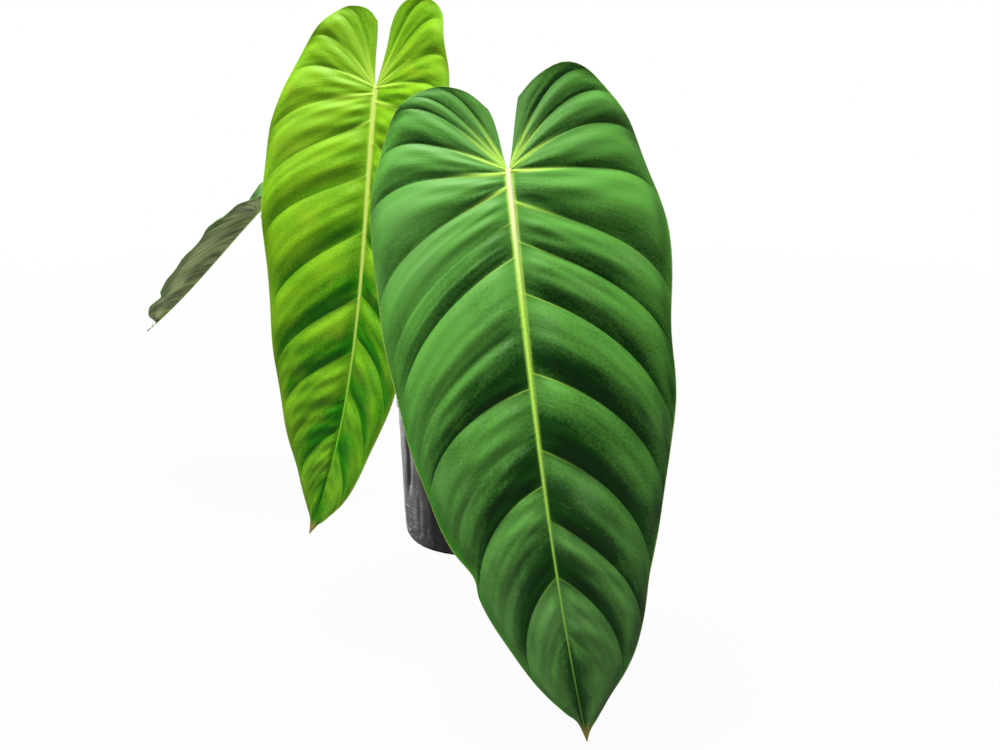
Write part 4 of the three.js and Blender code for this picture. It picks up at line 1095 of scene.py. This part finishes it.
class Finish:
    """The nodes of one material, made one after another round its own shader."""

    def __init__(self, name, roughness, **constants):
        self.material = bpy.data.materials.new(name)
        self.material.use_nodes = True
        self.tree = self.material.node_tree
        self.shader = self.tree.nodes["Principled BSDF"]
        self.shader.inputs["Roughness"].default_value = roughness
        for socket, value in constants.items():
            self.shader.inputs[socket.replace("_", " ")].default_value = value

    def node(self, kind, inputs=(), **settings):
        """Adds a node, sets it up and feeds its sockets with values or with other nodes' outputs."""
        made = self.tree.nodes.new("ShaderNode" + kind)
        for key, value in settings.items():
            setattr(made, key, value)
        for socket, value in dict(inputs).items():
            self.feed(made.inputs[socket], value)
        return made

    def feed(self, socket, value):
        if isinstance(value, bpy.types.NodeSocket):
            self.tree.links.new(value, socket)
        elif socket.type == "RGBA":
            socket.default_value = (*value[:3], 1)
        else:
            socket.default_value = value

    def math(self, operation, first, second=0.0):
        return self.node("Math", {0: first, 1: second}, operation=operation).outputs[0]

    def ease(self, value, low, high, start=0.0, end=1.0):
        """Smooth change from start to end as value goes from low to high."""
        if low > high:
            low, high, start, end = high, low, end, start
        sockets = {"Value": value, "From Min": low, "From Max": high, "To Min": start, "To Max": end}
        return self.node("MapRange", sockets, interpolation_type="SMOOTHSTEP").outputs["Result"]

    def blend(self, share, first, second):
        made = self.node("Mix", data_type="RGBA")
        for socket, value in ((0, share), (6, first), (7, second)):
            self.feed(made.inputs[socket], value)
        return made.outputs[2]

    def coat(self, body, *layers):
        """Lays colours over a colour. Each layer has its share and its colour."""
        for share, colour_over in layers:
            body = self.blend(share, body, colour_over)
        return body

    def shaded(self, value, low, high, share, main):
        """A colour that is darker, down to a share of itself, where value is low."""
        return self.blend(self.ease(value, low, high), darker(main, share), main)

    def map(self, label):
        return self.node("UVMap", uv_map=label).outputs[0]

    def pair(self, label):
        """The two values of one of the piece's own maps."""
        split = self.node("SeparateXYZ", {0: self.map(label)})
        return split.outputs[0], split.outputs[1]

    def objects_place(self):
        return self.node("TexCoord").outputs["Object"]

    def height(self):
        return self.node("SeparateXYZ", {0: self.objects_place()}).outputs[2]

    def noise(self, vector, scale, detail=2.0, roughness=0.5):
        sockets = {"Vector": vector, "Scale": scale, "Detail": detail, "Roughness": roughness}
        return self.node("TexNoise", sockets).outputs[0]

    def drawn_noise(self, across, along, counts, seed=0.0, detail=2.0):
        """Noise drawn out along veins or fibres. counts are its cells across and along them."""
        place = {0: self.times(across, counts[0]), 1: self.times(along, counts[1]), 2: seed}
        return self.noise(self.node("CombineXYZ", place).outputs[0], 1.0, detail)

    def stretched_noise(self, upright, scale):
        """Noise over the piece. It has upright times as many cells in height as across."""
        sockets = {"Vector": self.objects_place(), "Scale": (1.0, 1.0, upright)}
        return self.noise(self.node("Mapping", sockets).outputs[0], scale, 3.0)

    def spots(self, vector, scale, size, share):
        """Small round spots, one in a share of the cells."""
        cells = self.node("TexVoronoi", {"Vector": vector, "Scale": scale})
        near = self.ease(cells.outputs["Distance"], size, size * 0.4)
        picked = self.node("SeparateXYZ", {0: cells.outputs["Color"]}).outputs[0]
        return self.times(near, self.math("LESS_THAN", picked, share))

    def times(self, *values):
        total = values[0]
        for value in values[1:]:
            total = self.math("MULTIPLY", total, value)
        return total

    def mottle(self, parts, total=0.5):
        """A value that each part shifts by its distance from 0.5 times its weight."""
        for value, weight in parts:
            total = self.math("ADD", total, self.times(self.math("SUBTRACT", value, 0.5), weight))
        return total

    def bump(self, height, distance, strength, under=None):
        made = self.node("Bump", {"Height": height, "Distance": distance, "Strength": strength})
        if under is not None:
            self.feed(made.inputs["Normal"], under)
        return made.outputs[0]

    def done(self, body, roughness, normal):
        """Feeds the shader. A roughness of None leaves the constant one."""
        for socket, value in (("Base Color", body), ("Roughness", roughness), ("Normal", normal)):
            if value is not None:
                self.feed(self.shader.inputs[socket], value)
        return self.material


def darker(main, share):
    """A colour turned down to a share of its light."""
    return [value * share for value in main]


def blade_tone(name, colours):
    """The weights in the look of one blade's upper face, and its colours."""
    if name == "left":
        own = {"shade": colours.young_shade, "light": colours.young_light, "grey": colours.young_painted_sheen}
        own |= {"bright": colours.young_rim, "line": colours.young_line, "rib": colours.young_rib}
        own |= {"rib_middle": colours.young_rib, "rib_end": colours.young_end}
    else:
        own = {"shade": colours.deep_shade, "light": colours.deep_light, "grey": colours.deep_painted_sheen}
        own |= {"bright": colours.deep_rim, "line": colours.rib_green, "rib": colours.rib_pale}
        own |= {"rib_middle": colours.rib_green, "rib_end": colours.rib_end}
    if name == "back":
        own |= {"shade": colours.olive_shade, "light": colours.olive_light}
    return own | LOOKS[name]


def leaf_face(name, tone, colours, length):
    """Upper face of a blade: streaked greens under painted shade and light, a painted grey sheen, a pale
    midrib and a dry tip.
    """
    finish = Finish(name, 0.5, Specular_IOR_Level=0.14)
    ease, times = finish.ease, finish.times
    flat = finish.map("flat")
    across, down = finish.pair("flat")
    vein, t = finish.pair("vein")
    phase, rib = finish.pair("panel")
    part = finish.math("DIVIDE", down, length)
    from_sinus = finish.node("VectorMath", {0: flat}, operation="LENGTH").outputs["Value"]

    coarse = finish.drawn_noise(phase, t, (3.2, 3.0), 1.0, 3.0)
    streak = finish.drawn_noise(phase, t, (30, 5), 4.0)
    thread = finish.drawn_noise(phase, t, (90, 11), 9.0)
    patch, net, grain = (finish.noise(flat, cells) for cells in (24.0, 550.0, 1500.0))
    # Painted shade and light of the quilting: each panel is painted lighter just below its vein and darker
    # just above the next one, less so towards the margin and at the sinus
    leaning = finish.math("SUBTRACT", finish.math("FRACT", phase), times(t, 0.5))
    painted_vein_shade = ease(leaning, 0.1, 0.8, 1.0, 0.0)
    painted_shade_weight = ease(t, 0.7, 1.0, tone["depth"], 0.35 * tone["depth"])
    painted_shade_weight = times(painted_shade_weight, ease(part, 0.0, 0.55, tone["calm"], 1.0))
    # Painted shade on the lobes above the sinus
    painted_lobe_shade = ease(part, -0.12, 0.0, 0.0, 0.5)
    # Painted fall of light: lighter at the sinus, darker towards the tip
    painted_light_fall = ease(part, 0.0, 0.6, 1.0, 0.0)
    # Painted side light: the left half lighter and the right half darker
    painted_side_light = ease(across, -0.03, 0.03, 1.0, 0.0)
    # The greens mix random tone with the painted shade and light above
    green = finish.mottle([
        (patch, 0.8), (coarse, 1.2), (streak, 0.35), (thread, 0.2), (net, 0.7), (grain, 0.5),
        (painted_vein_shade, painted_shade_weight), (painted_light_fall, tone["painted_fall"]), (painted_side_light, tone["side"]), (painted_lobe_shade, tone["lobe"]),
    ])

    # Painted sheen: a grey reflection painted in patches and towards the tip, only on the lit upper part of
    # each panel
    painted_sheen = ease(finish.noise(flat, 15.0), 0.48, 0.72, 0.0, tone["painted_sheen"])
    painted_sheen = times(finish.math("ADD", painted_sheen, ease(part, 0.35, 1.0, 0.0, tone["painted_sheen"])), painted_vein_shade)
    tint = ease(finish.noise(flat, 42.0), 0.55, 0.75, 0.0, tone["tinted"])
    near_margin = times(ease(t, 0.78, 0.95), ease(across, -0.01, 0.01, tone["rim_left"], tone["rim_right"]))
    line = times(ease(vein, 0.0008, 0.0001), ease(t, 0.32, 0.02, 0.0, tone["lines"]))
    upper = finish.blend(ease(part, 0.0, 0.28), tone["rib"], tone["rib_middle"])
    body = finish.coat(
        finish.blend(green, tone["shade"], tone["light"]),
        (painted_sheen, tone["grey"]),
        (tint, colours.ochre),
        (times(near_margin, ease(part, 0.3, 0.5)), tone["bright"]),
        (times(line, ease(part, 0.35, 0.7, 1.0, 0.45)), tone["line"]),
        (times(ease(vein, 0.002, 0.0001), ease(from_sinus, 0.045, 0.006, 0.0, 0.85)), tone["line"]),
        (times(ease(rib, 2.0, 1.0), ease(part, 0.85, 0.0, 0.0, 0.6)), tone["line"]),
        (
            times(ease(rib, 1.1, 0.7), ease(part, 0.95, 0.75, 0.35, 1.0)),
            finish.blend(ease(part, 0.35, 0.78), upper, tone["rib_end"]),
        ),
        (times(ease(t, 0.984, 0.992), ease(part, 0.0, 0.35, 0.25, 0.85)), colours.margin),
        (ease(down, length - 0.012, length - 0.003), colours.drip_tip),
        (times(finish.spots(flat, 240.0, 0.07, 0.05), 0.5), colours.speck),
    )
    fine = finish.bump(thread, 0.00008, 0.5, finish.bump(streak, 0.00025, 0.5))
    rough = finish.mottle([(patch, 0.2), (grain, 0.12)])
    return finish.done(body, rough, finish.bump(net, 0.00012, 0.5, fine))


def leaf_underside(name, shade, light, colours, length):
    """Lower face of a blade: duller and paler, with raised pale veins, a greener rim and a stout keel."""
    finish = Finish(name, 0.55)
    ease, times = finish.ease, finish.times
    down = finish.pair("flat")[1]
    vein, t = finish.pair("vein")
    phase, rib = finish.pair("panel")
    part = finish.math("DIVIDE", down, length)
    coarse = finish.drawn_noise(phase, t, (2.6, 1.2), 2.0, 3.0)
    streak = finish.drawn_noise(phase, t, (16, 3), 6.0)
    grain = finish.noise(finish.map("flat"), 900.0)
    band = times(ease(t, 0.2, 0.45), ease(t, 0.8, 0.55))
    green = finish.mottle([(coarse, 2.0), (streak, 1.5), (grain, 0.4), (band, 0.45)])
    pale = finish.blend(0.55, light, colours.rib_green)
    body = finish.coat(
        finish.blend(green, shade, light),
        (ease(t, 0.6, 0.85, 0.0, 0.65), colours.rim_green),
        (times(ease(vein, 0.0013, 0.0003), ease(t, 0.95, 0.1, 0.0, 0.6)), pale),
        (ease(rib, 1.5, 1.2), finish.blend(ease(part, 0.15, 0.95), colours.rib_green, pale)),
        (ease(t, 0.985, 0.995, 0.0, 0.6), colours.margin),
        (ease(down, length - 0.014, length - 0.004), colours.drip_tip),
    )
    low = finish.bump(streak, 0.0003, 0.5)
    return finish.done(body, finish.mottle([(grain, 0.15)], 0.55), finish.bump(grain, 0.00006, 0.5, low))


def petiole_finish(colours):
    """Satin green stalk with pale flecks drawn out along it."""
    finish = Finish("petiole_green", 0.42)
    turn, along = finish.pair("skin")
    flecks = finish.drawn_noise(turn, along, (26, 90))
    streak = finish.drawn_noise(turn, along, (40, 8), 3.0)
    body = finish.coat(
        finish.shaded(streak, 0.3, 0.7, 0.62, colours.petiole),
        (finish.ease(flecks, 0.6, 0.72, 0.0, 0.7), colours.petiole_fleck),
        (finish.ease(along, 0.925, 0.95, 0.0, 0.5), colours.petiole_fleck),
        (finish.ease(along, 0.1, 0.0, 0.0, 0.6), colours.petiole_foot),
    )
    return finish.done(body, finish.ease(flecks, 0.3, 0.8, 0.36, 0.52), finish.bump(streak, 0.0002, 0.5))


def rolled_finish(colours):
    """Glossy pale green of the rolled leaf, with fine lines that wind with it."""
    finish = Finish("rolled_green", 0.35)
    turn, along = finish.pair("skin")
    wound = finish.math("ADD", turn, finish.times(along, SPEAR_WINDING))
    lines = finish.drawn_noise(wound, along, (24, 6), detail=3.0)
    body = finish.shaded(lines, 0.3, 0.7, 0.6, colours.spear)
    body = finish.coat(body, (finish.ease(along, 0.75, 1.0, 0.0, 0.7), colours.spear_tip))
    return finish.done(body, None, finish.bump(lines, 0.0003, 0.6))


def sheath_finish(colours):
    """Dry papery sheath with dark fibres and stains."""
    finish = Finish("dry_paper", 0.85)
    turn, along = finish.pair("skin")
    fibre = finish.drawn_noise(turn, along, (60, 5), detail=3.0)
    stain = finish.drawn_noise(turn, along, (5, 6), 5.0, 3.0)
    body = finish.shaded(fibre, 0.35, 0.65, 0.35, colours.sheath)
    body = finish.coat(body, (finish.ease(stain, 0.5, 0.7, 0.0, 0.6), colours.sheath_stain))
    return finish.done(body, None, finish.bump(fibre, 0.0004, 0.8))


def stem_finish(colours):
    """Green-brown skin with corky leaf scars."""
    finish = Finish("stem_bark", 0.6)
    cork = finish.noise(finish.objects_place(), 220.0, 3.0)
    height = finish.height()
    rings = finish.math("DIVIDE", finish.math("SUBTRACT", height, STEM_COLLAR), RING_STEP)
    body = finish.coat(
        finish.shaded(cork, 0.35, 0.7, 0.5, colours.stem),
        (finish.ease(finish.math("FRACT", rings), 0.72, 0.86, 0.0, 0.8), colours.stem_scar),
        (finish.ease(height, STEM_COLLAR + 0.004, STEM_COLLAR - 0.001, 0.0, 0.7), colours.peat),
    )
    return finish.done(body, finish.ease(cork, 0.3, 0.7, 0.5, 0.75), finish.bump(cork, 0.0005, 0.7))


def film_finish(colours):
    """Black film with a soft sheen, painted shade in its folds and towards its foot, and splashes of dried
    soil low down.
    """
    finish = Finish("bag_film", 0.36)
    height = finish.height()
    drawn = finish.stretched_noise(0.12, 260.0)
    dust = finish.noise(finish.objects_place(), 70.0, 4.0, 0.6)
    fold = finish.node("Attribute", attribute_name="fold").outputs["Fac"]
    splash = finish.times(finish.ease(dust, 0.5, 0.75), finish.ease(height, 0.05, 0.004, 0.04, 0.1))
    body = finish.coat(
        finish.shaded(drawn, 0.3, 0.75, 0.55, colours.film),
        (splash, colours.dust),
        # Painted shade: the film darker towards its foot
        (finish.ease(height, 0.06, 0.012, 0.0, 0.55), darker(colours.film, 0.35)),
        # Painted shade in the folds of the film
        (finish.ease(fold, 0.0004, 0.0018), darker(colours.film, 0.3)),
    )
    ridge = finish.times(finish.stretched_noise(5.0, 90.0), finish.ease(height, 0.05, 0.01, 0.3, 1.0))
    rough = finish.mottle([(drawn, 0.12)], finish.ease(dust, 0.35, 0.75, 0.4, 0.58))
    return finish.done(body, rough, finish.bump(drawn, 0.0003, 0.5, finish.bump(ridge, 0.0012, 0.6)))


def grain_finish(name, main, share, roughness, scale, texture=0.65, rise=0.0008):
    """Rough grain in one colour with random tone, down to a share of it in the hollows of its bump as painted
    shade: roots, peat, bark and perlite.
    """
    finish = Finish(name, roughness)
    grain = finish.noise(finish.objects_place(), scale, 4.0, texture)
    return finish.done(finish.shaded(grain, 0.3, 0.7, share, main), None, finish.bump(grain, rise, 0.8))


def stage_finish(settings):
    """Matt floor that keeps a soft shadow near the bag and goes over into white further out."""
    finish = Finish("pale_floor", 0.9, Specular_IOR_Level=0.0)
    finish.feed(finish.shader.inputs["Base Color"], settings.floor)
    away = finish.node("VectorMath", {0: finish.objects_place()}, operation="LENGTH").outputs["Value"]
    seen = finish.node("LightPath").outputs["Is Camera Ray"]
    share = finish.times(seen, finish.ease(away, 0.35, 1.6, settings.white_near, 1.0))
    white = finish.node("Emission", {"Color": (1, 1, 1), "Strength": 1.0}).outputs[0]
    both = finish.node("MixShader", {0: share, 1: finish.shader.outputs[0], 2: white}).outputs[0]
    finish.feed(finish.tree.nodes["Material Output"].inputs["Surface"], both)
    return finish.material


def aimed_light(name, place, target, size, power, spread=180):
    """A square soft light that looks at its target. spread is the opening of its beam in degrees."""
    lamp = bpy.data.lights.new(name, "AREA")
    lamp.shape, lamp.size, lamp.energy = "SQUARE", size, power
    lamp.spread = math.radians(spread)
    made = bpy.data.objects.new(name, lamp)
    made.location = place
    made.rotation_euler = (Vector(target) - Vector(place)).to_track_quat("-Z", "Y").to_euler()
    bpy.context.scene.collection.objects.link(made)


class PHILODENDRON_OT_stage(bpy.types.Operator):
    """Make the camera of the photograph, the pale floor under the plant, and the lights"""

    bl_idname = "philodendron.stage"
    bl_label = "Stage"

    def execute(self, context):
        scene = context.scene
        lens = bpy.data.cameras.new("view")
        lens.lens, lens.sensor_width = CAMERA_LENS, SENSOR_WIDTH
        lens.clip_start, lens.clip_end = 0.01, 50
        camera = bpy.data.objects.new("view", lens)
        camera.location = CAMERA_PLACE
        camera.rotation_euler = (math.radians(90 - CAMERA_PITCH), 0, 0)
        scene.collection.objects.link(camera)
        scene.camera = camera
        scene.view_settings.view_transform = "Standard"
        self.make_floor(scene)
        settings = scene.philodendron_stage
        aimed_light("key", *KEY_LIGHT, settings.key)
        aimed_light("side", *SIDE_LIGHT, settings.side, SIDE_SPREAD)
        self.make_room(scene, settings.fill)
        return {"FINISHED"}

    def make_room(self, scene, fill):
        """A grey room that shows white behind the plant."""
        world = bpy.data.worlds.new("room")
        world.use_nodes = True
        tree = world.node_tree
        seen = tree.nodes.new("ShaderNodeLightPath")
        strength = tree.nodes.new("ShaderNodeMapRange")
        strength.inputs["To Min"].default_value = fill
        strength.inputs["To Max"].default_value = 1.0
        tree.links.new(seen.outputs["Is Camera Ray"], strength.inputs["Value"])
        tree.links.new(strength.outputs["Result"], tree.nodes["Background"].inputs["Strength"])
        tree.nodes["Background"].inputs["Color"].default_value = (1, 1, 1, 1)
        scene.world = world

    def make_floor(self, scene):
        """A wide pale disc."""
        bm = bmesh.new()
        bmesh.ops.create_circle(bm, cap_ends=True, segments=96, radius=FLOOR_RADIUS)
        bmesh.ops.translate(bm, verts=bm.verts, vec=(0, 0, -FLOOR_DROP))
        floor = plain_object(bm, "floor", [stage_finish(scene.philodendron_stage)])


class PHILODENDRON_OT_blades(bpy.types.Operator):
    """Make the three leaf blades with their faces, undersides, midribs and drip tips"""

    bl_idname = "philodendron.blades"
    bl_label = "Leaf blades"

    def execute(self, context):
        colours = context.scene.philodendron_colours
        for name, leaf in LEAVES.items():
            tone = blade_tone(name, colours)
            length = BentBlade(leaf).length
            shade = mix(np.array(tone["shade"]), np.array(colours.under_shade), tone["dull"])
            light = mix(np.array(tone["light"]), np.array(colours.under_light), tone["dull"])
            face = leaf_face(f"{name}_face", tone, colours, length)
            under = leaf_underside(f"{name}_underside", shade, light, colours, length)
            blade = make_blade(f"{name}_blade", leaf, context.scene.philodendron_blades, [face, under])
            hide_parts(f"blade_{name}")
        return {"FINISHED"}


class PHILODENDRON_OT_petioles(bpy.types.Operator):
    """Make the three petioles, from the stem to the back of each blade"""

    bl_idname = "philodendron.petioles"
    bl_label = "Petioles"

    def execute(self, context):
        finish = petiole_finish(context.scene.philodendron_colours)
        for name, leaf in LEAVES.items():
            petiole = make_petiole(f"{name}_petiole", leaf, context.scene.philodendron_stalks, [finish])
            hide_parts(f"petiole_{name}")
        return {"FINISHED"}


class PHILODENDRON_OT_new_growth(bpy.types.Operator):
    """Make the rolled leaf and the dry sheath that held it"""

    bl_idname = "philodendron.new_growth"
    bl_label = "New growth"

    def execute(self, context):
        scene = context.scene
        rolled = make_rolled_leaf(scene.philodendron_stalks, [rolled_finish(scene.philodendron_colours)])
        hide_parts("new_leaf")
        sheath = make_dry_sheath(scene.philodendron_stalks, [sheath_finish(scene.philodendron_colours)])
        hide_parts("dry_sheath")
        return {"FINISHED"}


class PHILODENDRON_OT_stem(bpy.types.Operator):
    """Make the ringed stem and its roots"""

    bl_idname = "philodendron.stem"
    bl_label = "Stem and roots"

    def execute(self, context):
        scene = context.scene
        stem = make_stem([stem_finish(scene.philodendron_colours)])
        skin = grain_finish("root_skin", scene.philodendron_colours.root, 0.35, 0.8, 500.0, 0.5, 0.0004)
        roots = make_roots(scene.philodendron_bag, [skin])
        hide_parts("stem")
        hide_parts("stem")
        return {"FINISHED"}


class PHILODENDRON_OT_bag(bpy.types.Operator):
    """Make the nursery bag with its folds, hem and drain holes"""

    bl_idname = "philodendron.bag"
    bl_label = "Nursery bag"

    def execute(self, context):
        scene = context.scene
        bag = make_bag(scene.philodendron_bag, [film_finish(scene.philodendron_colours)])
        punch_drains(bag)
        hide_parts("pot")
        return {"FINISHED"}


class PHILODENDRON_OT_mix(bpy.types.Operator):
    """Make the potting mix with its crumbs, bark chips and perlite"""

    bl_idname = "philodendron.mix"
    bl_label = "Potting mix"

    def execute(self, context):
        scene = context.scene
        sizes, colours = scene.philodendron_bag, scene.philodendron_colours
        peat = grain_finish("peat", colours.peat, 0.3, 0.95, 420.0)
        bark = grain_finish("bark", colours.bark, 0.3, 0.85, 500.0)
        perlite = grain_finish("perlite", colours.perlite, 0.7, 0.9, 900.0)
        body = make_mix(sizes, [peat])
        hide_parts("soil")
        counts = {"peat_crumbs": sizes.crumbs, "bark_chips": sizes.chips, "perlite_grains": sizes.grains}
        for (name, shape), finish in zip(LOOSE_GRAINS.items(), (peat, bark, perlite)):
            make_crumbs(name, counts[name], *shape, sizes, [finish])
        return {"FINISHED"}


class PHILODENDRON_PT_panel(bpy.types.Panel):
    """Panel in the 3D view's sidebar with every operator and size"""

    bl_idname = "PHILODENDRON_PT_panel"
    bl_label = "Potted philodendron"
    bl_space_type = "VIEW_3D"
    bl_region_type = "UI"
    bl_category = "Philodendron"

    def draw(self, context):
        for operator in OPERATORS:
            self.layout.operator(operator.bl_idname)
        for place, group in GROUPS.items():
            box = self.layout.box()
            box.label(text=group.bl_rna.description)
            for name in group.__annotations__:
                box.prop(getattr(context.scene, place), name)


GROUPS = {
    "philodendron_blades": BladeSizes,
    "philodendron_stalks": StalkSizes,
    "philodendron_bag": BagSizes,
    "philodendron_colours": PlantColours,
    "philodendron_stage": StageSettings,
}
OPERATORS = (
    PHILODENDRON_OT_stage,
    PHILODENDRON_OT_blades,
    PHILODENDRON_OT_petioles,
    PHILODENDRON_OT_new_growth,
    PHILODENDRON_OT_stem,
    PHILODENDRON_OT_bag,
    PHILODENDRON_OT_mix,
)


def register():
    for group in GROUPS.values():
        bpy.utils.register_class(group)
    for place, group in GROUPS.items():
        setattr(bpy.types.Scene, place, bpy.props.PointerProperty(type=group))
    for operator in OPERATORS:
        bpy.utils.register_class(operator)
    bpy.utils.register_class(PHILODENDRON_PT_panel)


def unregister():
    bpy.utils.unregister_class(PHILODENDRON_PT_panel)
    for operator in reversed(OPERATORS):
        bpy.utils.unregister_class(operator)
    for place in GROUPS:
        delattr(bpy.types.Scene, place)
    for group in reversed(GROUPS.values()):
        bpy.utils.unregister_class(group)


def main():
    """Makes every piece."""
    register()
    for operator in OPERATORS:
        family, name = operator.bl_idname.split(".")
        getattr(getattr(bpy.ops, family), name)()
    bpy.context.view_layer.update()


if __name__ == "__main__":
    main()
